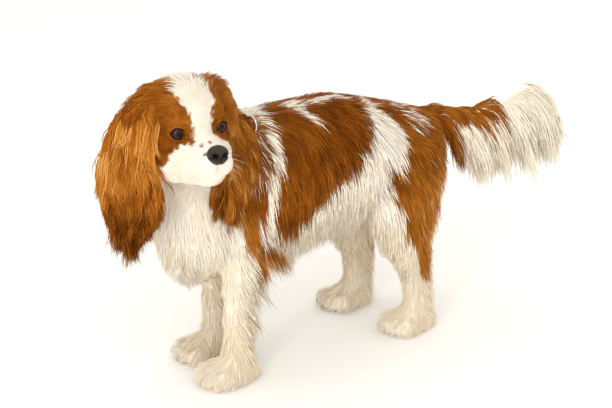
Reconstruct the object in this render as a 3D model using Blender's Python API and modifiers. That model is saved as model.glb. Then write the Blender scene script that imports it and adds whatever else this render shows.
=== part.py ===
"""Cavalier King Charles Spaniel, chestnut and white, standing with its head turned to its left.

A still, life-size model of the living dog, out to the tips of its coat. The dog faces -Y, its
own left is +X, and it stands on the plane z = 0. The body is modelled whole and then parted by
thin cuts into head, muzzle, neck, trunk, tail, legs and paws. Ears, eyes, nose and collar are
pieces of their own. Everything below is in metres.
"""
import math

import bmesh
import bpy
from mathutils import Matrix, Vector

MM = 0.001

# Driving sizes of the dog
WITHERS_Z = 320 * MM
RIB_HALF_WIDTH = 77 * MM
EYE_SPACING = 52 * MM
EYE_RADIUS = 10.5 * MM
NOSE_REACH = 54 * MM
EYE_SET_BACK = 3 * MM
HEAD_YAW = math.radians(80)
EYE_LINE = Vector((90, -206, 339)) * MM
EAR_TURN = math.radians(40)
EAR_HALF_THICKNESS = 17 * MM

# Fineness of the finished surface
VOXEL = 4 * MM
EAR_VOXEL = 3 * MM
BODY_TRIANGLES = 3400
EAR_TRIANGLES = 400
GAP = 0.3 * MM
EAR_GAP = 0.6 * MM
LOFT_SIDES = 20

# Collar and its ring
COLLAR_WIDTH = 14 * MM
COLLAR_THICKNESS = 3 * MM
COLLAR_CENTRE = Vector((10, -136, 270)) * MM
COLLAR_NORMAL = Vector((0.15, -0.68, 0.72)).normalized()
COLLAR_HALF_ACROSS = 48 * MM
COLLAR_HALF_DEEP = 56 * MM
RING_ANGLE = math.radians(62)
RING_LEAN = math.radians(34)
RING_RADIUS = 9 * MM
RING_WIRE = 1.4 * MM
RING_RISE = 12.5 * MM
KEEPER_SIZE = Vector((7, 9, 6)) * MM
COAT_PARTING = 13 * MM

AXIS_X = Vector((1, 0, 0))
AXIS_Y = Vector((0, 1, 0))
AXIS_Z = Vector((0, 0, 1))
HEAD_FORWARD = Vector((math.sin(HEAD_YAW), -math.cos(HEAD_YAW), 0))
HEAD_LEFT = AXIS_Z.cross(HEAD_FORWARD)

# Linear base colours with roughness: the dog's materials
COLOURS = {
    "chestnut_fur": ((0.33, 0.11, 0.03), 0.75),
    "white_fur": ((0.85, 0.80, 0.70), 0.75),
    "nose_leather": ((0.03, 0.025, 0.022), 0.45),
    "eye": ((0.02, 0.012, 0.008), 0.08),
    "collar_leather": ((0.03, 0.02, 0.015), 0.5),
    "ring_steel": ((0.6, 0.6, 0.6), 0.25),
}


def mm(*values):
    return Vector(values) * MM


def head_point(forward, left, up):
    """A point given in millimetres from the middle of the line between the eyes."""
    return EYE_LINE + (forward * HEAD_FORWARD + left * HEAD_LEFT + up * AXIS_Z) * MM


def remove_old_objects():
    for old in list(bpy.data.objects):
        bpy.data.objects.remove(old, do_unlink=True)


def collection(name):
    made = bpy.data.collections.new(name)
    bpy.context.scene.collection.children.link(made)
    return made


def material(name):
    colour, roughness = COLOURS[name]
    made = bpy.data.materials.new(name)
    made.use_nodes = True
    shader = made.node_tree.nodes["Principled BSDF"]
    shader.inputs["Base Color"].default_value = (*colour, 1)
    shader.inputs["Roughness"].default_value = roughness
    shader.inputs["Metallic"].default_value = 1.0 if name == "ring_steel" else 0.0
    return made


def add_object(name, mesh, group, finish=None):
    made = bpy.data.objects.new(name, mesh)
    group.objects.link(made)
    if finish:
        mesh.materials.clear()
        mesh.materials.append(finish)
    return made


def hide_guide(guide):
    guide.hide_render = True
    guide.display_type = "WIRE"


def mesh_from(bm, name):
    bmesh.ops.recalc_face_normals(bm, faces=bm.faces)
    mesh = bpy.data.meshes.new(name)
    bm.to_mesh(mesh)
    bm.free()
    return mesh


def evaluated_mesh(source):
    depsgraph = bpy.context.evaluated_depsgraph_get()
    return bpy.data.meshes.new_from_object(source.evaluated_get(depsgraph), depsgraph=depsgraph)


def loft(bm, stations, across, deep, sides=LOFT_SIDES):
    """Skin between elliptical sections, each (centre, half size across, half size deep)."""
    rings = []
    for centre, half_across, half_deep in stations:
        ring = []
        for step in range(sides):
            turn = 2 * math.pi * step / sides
            offset = across * half_across * math.cos(turn) + deep * half_deep * math.sin(turn)
            ring.append(bm.verts.new(centre + offset))
        rings.append(ring)
    for lower, upper in zip(rings, rings[1:]):
        for step in range(sides):
            after = (step + 1) % sides
            bm.faces.new((lower[step], lower[after], upper[after], upper[step]))
    bm.faces.new(rings[0][::-1])
    bm.faces.new(rings[-1])


def ellipsoid(bm, centre, radii, axes=(AXIS_X, AXIS_Y, AXIS_Z), segments=24):
    frame = Matrix([axis * radius for axis, radius in zip(axes, radii)]).transposed().to_4x4()
    placed = Matrix.Translation(centre) @ frame
    bmesh.ops.create_uvsphere(bm, u_segments=segments, v_segments=segments // 2, radius=1,
                              matrix=placed)


def lock(bm, root, tip, width, bend=Vector((0, 0, 0))):
    """A tapering lock of hair from root to tip, bowed by bend at its middle."""
    direction = (tip - root).normalized()
    across = direction.cross(AXIS_X)
    if across.length < 0.3:
        across = direction.cross(AXIS_Y)
    across.normalize()
    deep = direction.cross(across)
    stations = []
    for step in range(5):
        part = step / 4
        centre = root.lerp(tip, part) + bend * math.sin(math.pi * part)
        half = width * (1 - 0.72 * part ** 1.5)
        stations.append((centre, half, half * 0.8))
    loft(bm, stations, across, deep, sides=8)


def fringe(bm, start, end, count, hang, width):
    """Locks of hair side by side along a line, longer and shorter by turns."""
    for index in range(count):
        part = (index + 0.5) / count
        longer = 1 + 0.25 * math.sin(2.4 * index + 0.6)
        root = start.lerp(end, part)
        lock(bm, root - hang * 0.6, root + hang * longer, width)


def add_trunk(bm):
    """Ribs, back, loin and rump: y, top z, bottom z and half width along the dog."""
    profile = [(-201, 232, 148, 30), (-188, 262, 128, 47), (-160, 296, 110, 57),
               (-120, 316, 108, 67), (-80, 321, 118, 73), (-40, 320, 128, 77),
               (0, 320, 138, 77), (40, 319, 140, 76), (80, 311, 146, 75),
               (120, 299, 142, 74), (160, 286, 134, 70), (190, 277, 142, 59),
               (208, 268, 160, 44), (220, 258, 186, 26)]
    scale_up = WITHERS_Z / (320 * MM)
    scale_out = RIB_HALF_WIDTH / (77 * MM)
    stations = []
    for y, top, bottom, half_width in profile:
        centre = mm(0, y, scale_up * (top + bottom) / 2)
        stations.append((centre, half_width * MM * scale_out, scale_up * (top - bottom) / 2 * MM))
    loft(bm, stations, AXIS_X, AXIS_Z)


def add_breast(bm):
    """The breast's long hair, a keel in front that runs down between the forelegs."""
    ellipsoid(bm, mm(2, -172, 205), mm(46, 36, 62))
    fringe(bm, mm(0, -196, 158), mm(0, -132, 118), 4, mm(0, 4, -18), 9 * MM)
    fringe(bm, mm(24, -184, 160), mm(26, -140, 140), 3, mm(0, 3, -16), 9 * MM)
    fringe(bm, mm(-24, -184, 160), mm(-26, -140, 140), 3, mm(0, 3, -16), 9 * MM)


def add_neck(bm):
    """From the shoulders up to the skull, which is held forward and to the left."""
    stations = [(mm(0, -84, 218), 66 * MM, 84 * MM), (mm(5, -122, 254), 62 * MM, 76 * MM),
                (mm(17, -158, 290), 56 * MM, 65 * MM), (mm(32, -188, 320), 50 * MM, 54 * MM),
                (mm(44, -202, 338), 40 * MM, 44 * MM)]
    loft(bm, stations, AXIS_X, Vector((0, 0.69, 0.72)))


def add_head(bm):
    """Skull, brows, cheeks and the short cushioned muzzle, in the head's own directions."""
    axes = (HEAD_FORWARD, HEAD_LEFT, AXIS_Z)
    ellipsoid(bm, head_point(-42, 0, 9), mm(53, 44, 46), axes)
    ellipsoid(bm, head_point(-30, 0, -14), mm(44, 45, 38), axes)
    for side in (-1, 1):
        ellipsoid(bm, head_point(-12, side * 19, 19), mm(21, 17, 17), axes)
        ellipsoid(bm, head_point(-14, side * 25, -27), mm(30, 19, 27), axes)
        ellipsoid(bm, head_point(26, side * 12, -29), mm(23, 15, 16), axes)
        ellipsoid(bm, head_point(-46, side * 33, 26), mm(22, 14, 20), axes)
    stations = [(head_point(-16, 0, -22), 31 * MM, 31 * MM),
                (head_point(4, 0, -23), 25 * MM, 28 * MM),
                (head_point(24, 0, -25), 22 * MM, 25 * MM),
                (head_point(40, 0, -26), 20 * MM, 22 * MM),
                (head_point(49, 0, -27), 14 * MM, 16 * MM)]
    loft(bm, stations, HEAD_LEFT, AXIS_Z)
    ellipsoid(bm, head_point(12, 0, -43), mm(34, 20, 17), axes)
    ellipsoid(bm, head_point(-6, 0, -46), mm(36, 24, 20), axes)


def add_front_leg(bm, side, back):
    """Foreleg: shoulder, straight cannon and the feathering that runs down its back."""
    x = 38 * side
    stations = [(mm(x - 2 * side, -96 + back / 2, 205), 30 * MM, 50 * MM),
                (mm(x, -94 + back, 160), 28 * MM, 48 * MM),
                (mm(x, -94 + back, 118), 23 * MM, 45 * MM),
                (mm(x, -100 + back, 75), 20 * MM, 40 * MM),
                (mm(x, -109 + back, 40), 21 * MM, 33 * MM),
                (mm(x, -118 + back, 14), 22 * MM, 28 * MM)]
    loft(bm, stations, AXIS_X, AXIS_Y)
    fringe(bm, mm(x, -56 + back, 140), mm(x, -80 + back, 45), 5, mm(0, 12, -16), 8 * MM)
    fringe(bm, mm(x + 18 * side, -50 + back, 178), mm(x + 20 * side, -18 + back, 172), 4,
           mm(2 * side, 8, -26), 10 * MM)


def add_hind_leg(bm, side, foot_y):
    """Hind leg: full thigh, hock and the short upright shank behind the paw."""
    x = 50 * side
    back = foot_y - 134
    stations = [(mm(34 * side, 140 + back, 245), 36 * MM, 58 * MM),
                (mm(40 * side, 138 + back, 200), 37 * MM, 63 * MM),
                (mm(44 * side, 136 + back, 158), 35 * MM, 62 * MM),
                (mm(47 * side, 137 + back, 122), 30 * MM, 54 * MM),
                (mm(x, 145 + back, 94), 25 * MM, 40 * MM),
                (mm(x, 152 + back, 70), 21 * MM, 28 * MM),
                (mm(x + 2 * side, 154 + back, 42), 20 * MM, 25 * MM),
                (mm(x + 4 * side, 152 + back, 14), 21 * MM, 25 * MM)]
    loft(bm, stations, AXIS_X, AXIS_Y)
    fringe(bm, mm(x, 190 + back, 175), mm(x, 184 + back, 92), 5, mm(0, 8, -20), 9 * MM)
    fringe(bm, mm(x, 92 + back, 142), mm(x, 112 + back, 112), 3, mm(0, -4, -20), 9 * MM)


def add_paw(bm, centre_x, centre_y, half_length):
    """A round paw with four toes and the hair between them."""
    ellipsoid(bm, mm(centre_x, centre_y + 8, 12), mm(26, half_length - 8, 22))
    for toe in range(4):
        spread = toe - 1.5
        reach = -half_length + 17 + abs(spread) * 5
        ellipsoid(bm, mm(centre_x + 12.5 * spread, centre_y + reach, 11), mm(9.5, 16, 15))


def add_tail(bm):
    """The plumed tail: an upper edge, a hanging lower edge and a half thickness, root to tip."""
    plume = [((196, 266), (205, 226), 24), ((226, 264), (219, 200), 23),
             ((256, 257), (238, 168), 23), ((292, 251), (264, 152), 24),
             ((334, 258), (306, 146), 25), ((374, 261), (346, 142), 25),
             ((412, 240), (388, 136), 22), ((437, 210), (420, 138), 17),
             ((446, 186), (436, 146), 10)]
    stations = []
    for upper, lower, half_thickness in plume:
        top = mm(0, *upper)
        bottom = mm(0, *lower)
        stations.append(((top + bottom) / 2, half_thickness * MM, (top - bottom).length / 2))
    leans = [Vector((0, upper[0] - lower[0], upper[1] - lower[1])) for upper, lower, _ in plume]
    slant = sum(leans, Vector((0, 0, 0))).normalized()
    loft(bm, stations, AXIS_X, slant)
    for index in range(9):
        part = index / 8
        root = mm(0, 238 + 196 * part, 176 - 18 * part)
        tip = mm((-1) ** index * 7, 244 + 200 * part, 147 - 16 * part + 5 * math.sin(2.1 * index))
        lock(bm, root, tip, 11 * MM, mm(0, 3, 0))
    for index in range(4):
        root = mm(0, 424 - 3 * index, 216 - 22 * index)
        lock(bm, root, root + mm(0, 29 - 2 * index, -26), 10 * MM, mm(0, 4, 3))


def add_elbow_tufts(bm):
    """The long pointed tufts behind the elbow of the foreleg that stands in front."""
    for root, tip in (((57, -96, 168), (63, -66, 126)), ((54, -88, 160), (58, -56, 132))):
        lock(bm, mm(*root), mm(*tip), 11 * MM, mm(2, 3, 4))


def add_flank_fringe(bm, side):
    """The long hair of the side, which hangs below the ribs and rises to the tuck-up."""
    fringe(bm, mm(58 * side, -36, 196), mm(60 * side, 50, 214), 7, mm(7 * side, 3, -32), 12 * MM)
    fringe(bm, mm(24 * side, -30, 146), mm(24 * side, 92, 158), 7, mm(0, 2, -18), 11 * MM)


def body_mesh(guides):
    """The whole dog but for its ears: rough forms fused, smoothed and thinned out."""
    bm = bmesh.new()
    add_trunk(bm)
    add_breast(bm)
    add_neck(bm)
    add_head(bm)
    add_tail(bm)
    add_elbow_tufts(bm)
    for side, front_y, foreleg_back, hind_y in ((1, -137, 0, 134), (-1, -118, 22, 122)):
        add_front_leg(bm, side, foreleg_back)
        add_hind_leg(bm, side, hind_y)
        add_paw(bm, 38 * side, front_y, 41)
        add_paw(bm, 55 * side, hind_y, 42)
        add_flank_fringe(bm, side)
    rough = add_object("rough_body", mesh_from(bm, "rough_body"), guides)
    hide_guide(rough)
    return fused(rough, VOXEL, 5, BODY_TRIANGLES)


def fused(rough, voxel, smoothing, triangles):
    """One closed skin over overlapping forms, smoothed and brought down to a triangle count."""
    remesh = rough.modifiers.new("fuse", "REMESH")
    remesh.mode = "VOXEL"
    remesh.voxel_size = voxel
    smooth = rough.modifiers.new("smooth", "SMOOTH")
    smooth.factor = 0.5
    smooth.iterations = smoothing
    full = evaluated_mesh(rough)
    full.calc_loop_triangles()
    thin = rough.modifiers.new("thin", "DECIMATE")
    thin.ratio = min(1.0, triangles / len(full.loop_triangles))
    bpy.context.view_layer.update()
    return evaluated_mesh(rough)


def ear_mesh(side, guides):
    """A long pendant ear: height, forward, outward and half width down its middle line."""
    right = [(44, -35, 49, 12), (30, -37, 54, 22), (12, -40, 60, 30), (-14, -42, 65, 36),
             (-42, -42, 66, 39), (-71, -41, 65, 40), (-98, -41, 63, 37), (-122, -43, 63, 31),
             (-140, -46, 66, 20)]
    left = [(42, -36, 38, 12), (28, -38, 43, 21), (8, -38, 50, 27), (-18, -32, 56, 33),
            (-46, -25, 60, 37), (-74, -22, 62, 38), (-98, -21, 62, 34), (-116, -22, 61, 25),
            (-128, -23, 61, 14)]
    across = -math.cos(EAR_TURN) * HEAD_FORWARD + side * math.sin(EAR_TURN) * HEAD_LEFT
    facing = math.sin(EAR_TURN) * HEAD_FORWARD + side * math.cos(EAR_TURN) * HEAD_LEFT
    bm = bmesh.new()
    stations = []
    for up, forward, out, half_width in (left if side > 0 else right):
        centre = head_point(forward, side * out, up)
        slimmer = min(1.0, half_width * MM / (2 * EAR_HALF_THICKNESS) + 0.35)
        stations.append((centre, half_width * MM, EAR_HALF_THICKNESS * slimmer))
    loft(bm, stations, across, facing)
    for index in range(7):
        part = index / 6 * 2 - 1
        base = stations[-3][0] + (across * 26 * part + AXIS_Z * 8 * part ** 2) * MM
        fall = 30 - 12 * part ** 2 + 4 * math.sin(2.3 * index)
        lock(bm, base, base + (across * 6 * part - AXIS_Z * fall) * MM, 8 * MM)
    for index in range(5):
        base = stations[2 + index][0] + across * stations[2 + index][1] * 0.7
        lock(bm, base, base + across * 15 * MM - AXIS_Z * 26 * MM, 8 * MM)
    rough = add_object(f"rough_ear_{side}", mesh_from(bm, "rough_ear"), guides)
    hide_guide(rough)
    return fused(rough, EAR_VOXEL, 4, EAR_TRIANGLES)


def box_cutter(name, low, high, group, frame=None):
    """A box between two corners given in millimetres, in a frame of its own if one is given."""
    bm = bmesh.new()
    bmesh.ops.create_cube(bm, size=1)
    made = add_object(name, mesh_from(bm, name), group)
    middle = (Vector(low) + Vector(high)) / 2 * MM
    size = (Vector(high) - Vector(low)) * MM
    placed = Matrix.Translation(middle) @ Matrix.Diagonal((*size, 1))
    made.data.transform((frame or Matrix.Identity(4)) @ placed)
    hide_guide(made)
    return made


def grown(source, distance, group):
    """A copy of a guide whose faces stand off outwards by a distance."""
    bm = bmesh.new()
    bm.from_mesh(source.data)
    bm.normal_update()
    moved = {vert: vert.co + vert.normal * min(2.0, vert.calc_shell_factor()) * distance
             for vert in bm.verts}
    for vert, place in moved.items():
        vert.co = place
    made = add_object(source.name + "_grown", mesh_from(bm, source.name), group)
    hide_guide(made)
    return made


def shifted(source, offset, group):
    """A copy of a guide moved aside by an offset."""
    made = add_object(source.name + "_shifted", source.data.copy(), group)
    made.data.transform(Matrix.Translation(offset))
    hide_guide(made)
    return made


def cut(piece, cutter, operation, solver="EXACT"):
    """Cut a piece by a closed guide and keep the result as its mesh."""
    modifier = piece.modifiers.new("cut", "BOOLEAN")
    modifier.solver = solver
    modifier.operation = operation
    modifier.object = cutter
    bpy.context.view_layer.update()
    mesh = evaluated_mesh(piece)
    piece.modifiers.remove(modifier)
    piece.data = mesh


def tidy_mesh(piece):
    """Weld slivers left by a cut, drop loose crumbs and keep only the largest body."""
    bm = bmesh.new()
    bm.from_mesh(piece.data)
    bmesh.ops.remove_doubles(bm, verts=bm.verts, dist=0.02 * MM)
    bmesh.ops.dissolve_degenerate(bm, edges=bm.edges, dist=0.01 * MM)
    bmesh.ops.triangulate(bm, faces=bm.faces)
    islands = []
    unseen = set(bm.verts)
    while unseen:
        stack = [unseen.pop()]
        island = list(stack)
        while stack:
            for edge in stack.pop().link_edges:
                for vert in edge.verts:
                    if vert in unseen:
                        unseen.remove(vert)
                        island.append(vert)
                        stack.append(vert)
        islands.append(island)
    islands.sort(key=len)
    crumbs = [vert for island in islands[:-1] for vert in island]
    bmesh.ops.delete(bm, geom=crumbs, context="VERTS")
    bm.to_mesh(piece.data)
    bm.free()


def part_off(rest, name, region, finish, parts, guides):
    """Give the part of the body inside a region its own node, with a thin gap to the rest."""
    piece = add_object(name, rest.data.copy(), parts, finish)
    cut(piece, region, "INTERSECT", "MANIFOLD")
    cut(rest, grown(region, GAP, guides), "DIFFERENCE", "MANIFOLD")
    return piece


def plane_frame(point, normal):
    """A frame whose z axis is the normal, for a box that starts at a cutting plane."""
    return Matrix.Translation(point) @ normal.to_track_quat("Z", "Y").to_matrix().to_4x4()


def eye_opening(side, group):
    """The opening between the lids, a shallow almond hollow in front of the eye."""
    bm = bmesh.new()
    centre = head_point(9, side * (EYE_SPACING / 2 / MM + 2), 0)
    ellipsoid(bm, centre, mm(10, 11, 8.5), (HEAD_FORWARD, HEAD_LEFT, AXIS_Z), segments=14)
    made = add_object(f"eye_opening_{side}", mesh_from(bm, "eye_opening"), group)
    hide_guide(made)
    return made


def head_frame():
    """The frame of the head: forward, left and up, from the middle of the eye line."""
    axes = Matrix((HEAD_FORWARD, HEAD_LEFT, AXIS_Z)).transposed().to_4x4()
    return Matrix.Translation(EYE_LINE) @ axes


def nose_mesh():
    """The nose leather: a broad rounded wedge with two nostrils."""
    bm = bmesh.new()
    axes = (HEAD_FORWARD, HEAD_LEFT, AXIS_Z)
    ellipsoid(bm, head_point(NOSE_REACH / MM - 9, 0, -14.5), mm(9, 12.4, 11), axes, 16)
    return mesh_from(bm, "nose")


def collar_frame():
    across = (AXIS_X - COLLAR_NORMAL * AXIS_X.dot(COLLAR_NORMAL)).normalized()
    return across, COLLAR_NORMAL.cross(across)


def collar_spot(angle, outward=0.0, along=0.0):
    """A point on the collar's ring, moved outwards from it and along the neck."""
    across, deep = collar_frame()
    radial = across * math.cos(angle) * COLLAR_HALF_ACROSS + deep * math.sin(angle) * COLLAR_HALF_DEEP
    return COLLAR_CENTRE + radial + radial.normalized() * outward + COLLAR_NORMAL * along


def ring_direction():
    """Which way the ring stands up from the collar, in the upright plane across the dog."""
    return Vector((math.sin(RING_LEAN), 0, math.cos(RING_LEAN)))


def ring_centre():
    return collar_spot(RING_ANGLE) + ring_direction() * RING_RISE


def coat_parting(group):
    """The hollow in the coat where the ring stands clear of the hair."""
    bm = bmesh.new()
    ellipsoid(bm, ring_centre(), (COAT_PARTING,) * 3, segments=16)
    made = add_object("coat_parting", mesh_from(bm, "coat_parting"), group)
    hide_guide(made)
    return made


def keeper_mesh():
    """The keeper that holds the ring's foot to the collar's band."""
    radial = (collar_spot(RING_ANGLE, 1) - collar_spot(RING_ANGLE)).normalized()
    tangent = COLLAR_NORMAL.cross(radial)
    bm = bmesh.new()
    axes = Matrix([tangent * KEEPER_SIZE.x, COLLAR_NORMAL * KEEPER_SIZE.y, radial * KEEPER_SIZE.z])
    placed = Matrix.Translation(collar_spot(RING_ANGLE, KEEPER_SIZE.z / 2)) @ axes.transposed().to_4x4()
    bmesh.ops.create_cube(bm, size=1, matrix=placed)
    bmesh.ops.bevel(bm, geom=bm.edges, offset=1 * MM, segments=1, affect="EDGES")
    return mesh_from(bm, "keeper")


def collar_mesh():
    """The collar's band, a flat strap bent round the neck."""
    half_width = COLLAR_WIDTH / 2
    corners = [(0, -half_width), (COLLAR_THICKNESS, -half_width), (COLLAR_THICKNESS, half_width),
               (0, half_width)]
    steps = 32
    bm = bmesh.new()
    rings = [[bm.verts.new(collar_spot(2 * math.pi * step / steps, *corner)) for corner in corners]
             for step in range(steps)]
    for step in range(steps):
        here, there = rings[step], rings[(step + 1) % steps]
        for side in range(4):
            after = (side + 1) % 4
            bm.faces.new((here[side], here[after], there[after], there[side]))
    return mesh_from(bm, "collar")


def collar_ring_mesh():
    """The steel ring that stands up from the collar at the left of the nape."""
    upward = ring_direction()
    sideways = AXIS_Y.cross(upward)
    centre = ring_centre()
    curve = bpy.data.curves.new("ring_path", "CURVE")
    curve.dimensions = "3D"
    curve.bevel_depth = RING_WIRE
    curve.bevel_resolution = 2
    spline = curve.splines.new("POLY")
    count = 18
    spline.points.add(count - 1)
    for index, point in enumerate(spline.points):
        turn = 2 * math.pi * index / count
        point.co = (*(centre + (sideways * math.cos(turn) + upward * math.sin(turn)) * RING_RADIUS), 1)
    spline.use_cyclic_u = True
    path = bpy.data.objects.new("ring_path", curve)
    bpy.context.scene.collection.objects.link(path)
    bpy.context.view_layer.update()
    mesh = evaluated_mesh(path)
    bpy.data.objects.remove(path, do_unlink=True)
    bm = bmesh.new()
    bm.from_mesh(mesh)
    bmesh.ops.remove_doubles(bm, verts=bm.verts, dist=0.01 * MM)
    return mesh_from(bm, "collar_ring")


def floor_and_centre(pieces):
    """Stand the dog on z = 0 with the origin below the middle of its box."""
    corners = [piece.matrix_world @ vert.co for piece in pieces for vert in piece.data.vertices]
    low = [min(corner[axis] for corner in corners) for axis in range(3)]
    high = [max(corner[axis] for corner in corners) for axis in range(3)]
    shift = Matrix.Translation((-(low[0] + high[0]) / 2, -(low[1] + high[1]) / 2, 0))
    for piece in pieces:
        piece.data.transform(shift)


def main():
    remove_old_objects()
    parts = collection("cavalier_king_charles_spaniel")
    guides = collection("guides")
    finishes = {name: material(name) for name in COLOURS}
    chestnut, white = finishes["chestnut_fur"], finishes["white_fur"]

    rest = add_object("trunk", body_mesh(guides), parts, chestnut)
    coat_edge = grown(rest, EAR_GAP, guides)
    cut(rest, box_cutter("floor", (-400, -400, -100), (400, 600, 0), guides), "DIFFERENCE")

    sides = ((1, "left"), (-1, "right"))
    for side, word in sides:
        ear = add_object(f"ear_{word}", ear_mesh(side, guides), parts, chestnut)
        cut(ear, coat_edge, "DIFFERENCE")
        cut(ear, shifted(rest, AXIS_Z * GAP, guides), "DIFFERENCE")
        cut(ear, rest, "DIFFERENCE")

    for side, word in sides:
        centre = head_point(-EYE_SET_BACK / MM, side * EYE_SPACING / 2 / MM, 0)
        cut(rest, eye_opening(side, guides), "DIFFERENCE")
        bm = bmesh.new()
        ellipsoid(bm, centre, (EYE_RADIUS,) * 3, segments=14)
        eye = add_object(f"eye_{word}", mesh_from(bm, "eye"), parts, finishes["eye"])
        cut(rest, grown(eye, GAP, guides), "DIFFERENCE")

    nose = add_object("nose", nose_mesh(), parts, finishes["nose_leather"])
    cut(rest, grown(nose, GAP, guides), "DIFFERENCE")

    collar = add_object("collar", collar_mesh(), parts, finishes["collar_leather"])
    ring = add_object("collar_ring", collar_ring_mesh(), parts, finishes["ring_steel"])
    keeper = add_object("keeper", keeper_mesh(), guides)
    hide_guide(keeper)
    cut(rest, coat_parting(guides), "DIFFERENCE")
    for worn in (collar, keeper, ring):
        cut(rest, grown(worn, GAP, guides), "DIFFERENCE")
    cut(collar, keeper, "UNION")
    cut(collar, grown(ring, GAP, guides), "DIFFERENCE")

    head_plane = plane_frame(head_point(-52, 0, -34), Vector((0.55, -0.42, 0.72)).normalized())
    head_region = box_cutter("head_region", (-150, -150, 0), (150, 150, 200), guides, head_plane)
    head = part_off(rest, "head", head_region, chestnut, parts, guides)
    muzzle_region = box_cutter("muzzle_region", (8, -60, -90), (120, 60, 7), guides, head_frame())
    muzzle = part_off(head, "muzzle", muzzle_region, white, parts, guides)
    jaw_region = box_cutter("jaw_region", (-20, -70, -110), (140, 70, -41), guides, head_frame())
    part_off(muzzle, "lower_jaw", jaw_region, white, parts, guides)
    neck_plane = plane_frame(COLLAR_CENTRE, COLLAR_NORMAL)
    neck_region = box_cutter("neck_region", (-150, -150, 0), (150, 150, 200), guides, neck_plane)
    part_off(rest, "neck", neck_region, white, parts, guides)
    tail_region = box_cutter("tail_region", (-80, 222, 60), (80, 500, 330), guides)
    part_off(rest, "tail", tail_region, white, parts, guides)
    for side, word in sides:
        low_x, high_x = sorted((11 * side, 140 * side))
        for place, region, top in (("front", (-210, -30), 158), ("hind", (58, 260), 176)):
            name = f"{place}_{word}"
            leg_region = box_cutter(f"leg_{name}_region", (low_x, region[0], -30),
                                    (high_x, region[1], top), guides)
            leg = part_off(rest, f"leg_{name}", leg_region, white, parts, guides)
            paw_region = box_cutter(f"paw_{name}_region", (low_x, -300, -30), (high_x, 300, 30),
                                    guides)
            part_off(leg, f"paw_{name}", paw_region, white, parts, guides)

    pieces = list(parts.objects)
    for piece in pieces:
        tidy_mesh(piece)
        piece.data.shade_smooth()
        piece.data.set_sharp_from_angle(angle=math.radians(50))
    floor_and_centre(pieces)


main()
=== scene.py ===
"""Looks of the Cavalier King Charles Spaniel: one skin, a combed coat of solid tufts, the face,
the collar and a plain studio.

Places are in dog millimetres: the dog faces -Y, its left is +X and the floor is z = 0. The head
has directions of its own: forward, left and up from the middle of the line between the eyes.
"""

import itertools
import math

import bmesh
import bpy
import numpy as np
from bpy.props import FloatProperty, FloatVectorProperty, IntProperty, PointerProperty
from mathutils import Matrix, Vector
from mathutils.bvhtree import BVHTree
from mathutils.kdtree import KDTree


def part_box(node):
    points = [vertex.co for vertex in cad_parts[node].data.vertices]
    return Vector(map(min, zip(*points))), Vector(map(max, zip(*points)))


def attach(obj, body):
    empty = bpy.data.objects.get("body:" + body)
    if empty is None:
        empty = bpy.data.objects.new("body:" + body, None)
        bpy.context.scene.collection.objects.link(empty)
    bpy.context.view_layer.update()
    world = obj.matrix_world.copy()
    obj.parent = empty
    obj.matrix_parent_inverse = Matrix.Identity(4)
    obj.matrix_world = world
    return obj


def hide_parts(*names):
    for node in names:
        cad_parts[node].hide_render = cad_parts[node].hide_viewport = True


bl_info = {
    "name": "Cavalier King Charles Spaniel",
    "version": (1, 0, 0),
    "blender": (4, 5, 0),
    "location": "3D View > Sidebar > Spaniel",
    "description": "Skin, coat, face, collar and studio of a chestnut and white spaniel",
    "category": "Object",
}

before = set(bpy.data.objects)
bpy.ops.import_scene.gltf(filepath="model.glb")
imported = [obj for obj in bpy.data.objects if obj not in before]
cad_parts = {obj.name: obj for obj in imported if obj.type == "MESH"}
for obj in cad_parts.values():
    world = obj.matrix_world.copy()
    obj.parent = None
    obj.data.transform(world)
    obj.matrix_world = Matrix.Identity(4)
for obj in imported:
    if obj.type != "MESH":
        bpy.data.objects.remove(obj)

MM = 0.001
HEAD_YAW = math.radians(80)
FORWARD = np.array((math.sin(HEAD_YAW), -math.cos(HEAD_YAW), 0.0))
LEFT = np.array((math.cos(HEAD_YAW), math.sin(HEAD_YAW), 0.0))
UP = np.array((0.0, 0.0, 1.0))
HEAD_AXES = np.array((FORWARD, LEFT, UP))
EYE_LINE = np.array((90.0, -206.0, 339.0))
BODY_AXES = np.eye(3)

# The left eye's centre, and where the middle of the CAD eyes lies, in the head's directions.
EYE_CENTRE = np.array((-7.0, 24.0, 0.0))
CAD_EYES_FORWARD = -3.0
EYE_RADIUS = 10.5
EYE_TURN = math.radians(14)
LID_HALF_WIDTH = 7.6
LID_HALF_HEIGHT = 5.0
LID_SQUARENESS = 2.4
LID_THICKNESS = 0.8
SOCKET_DEPTH = 2.2
FAR_FROM_LIDS = 9.0
EAR_TURN = math.radians(40)

# The nose leather: its middle, its half depth, width and height, and its nostrils' half sizes.
NOSE_CENTRE = (45.5, 0, -14.5)
NOSE_DEPTH, NOSE_WIDTH, NOSE_HEIGHT = 9.5, 12.2, 10.6
NOSTRIL_OUT, NOSTRIL_WIDTH, NOSTRIL_HEIGHT = 5.8, 4.0, 3.6
NOSTRIL_DEPTH, SLIT_DEPTH, GROOVE_DEPTH = 5.5, 2.2, 1.5

SKIN_OVER_FLOOR = 0.4
HAIR_OVER_FLOOR = 0.5
# The toes of a paw, counted out from its middle in gaps between toes.
PAW_TOES = (-1.5, -0.5, 0.5, 1.5)
TOE_GAP = 11.5
CLAW_WIDTH = 2.4
CLAW_PAST_TOE = 9
WHISKER_WIDTH = 0.34

# How the hair grows: how deep a root sits, how steeply a tuft leaves the skin or comes back to
# it, how far it may be pushed out in a step, and how far off it no longer feels the skin.
ROOT_DEPTH = 0.6
STEEPEST_FALL, STEEPEST_RISE = -0.7, 0.9
LARGEST_PUSH = 12
SKIN_REACH = 14
# The cross-section of a tuft in shares of its half width, and how much narrower it ends.
TUFT_BACK, TUFT_CREST = 0.25, 0.55
TUFT_TAPER = 0.75
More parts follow.
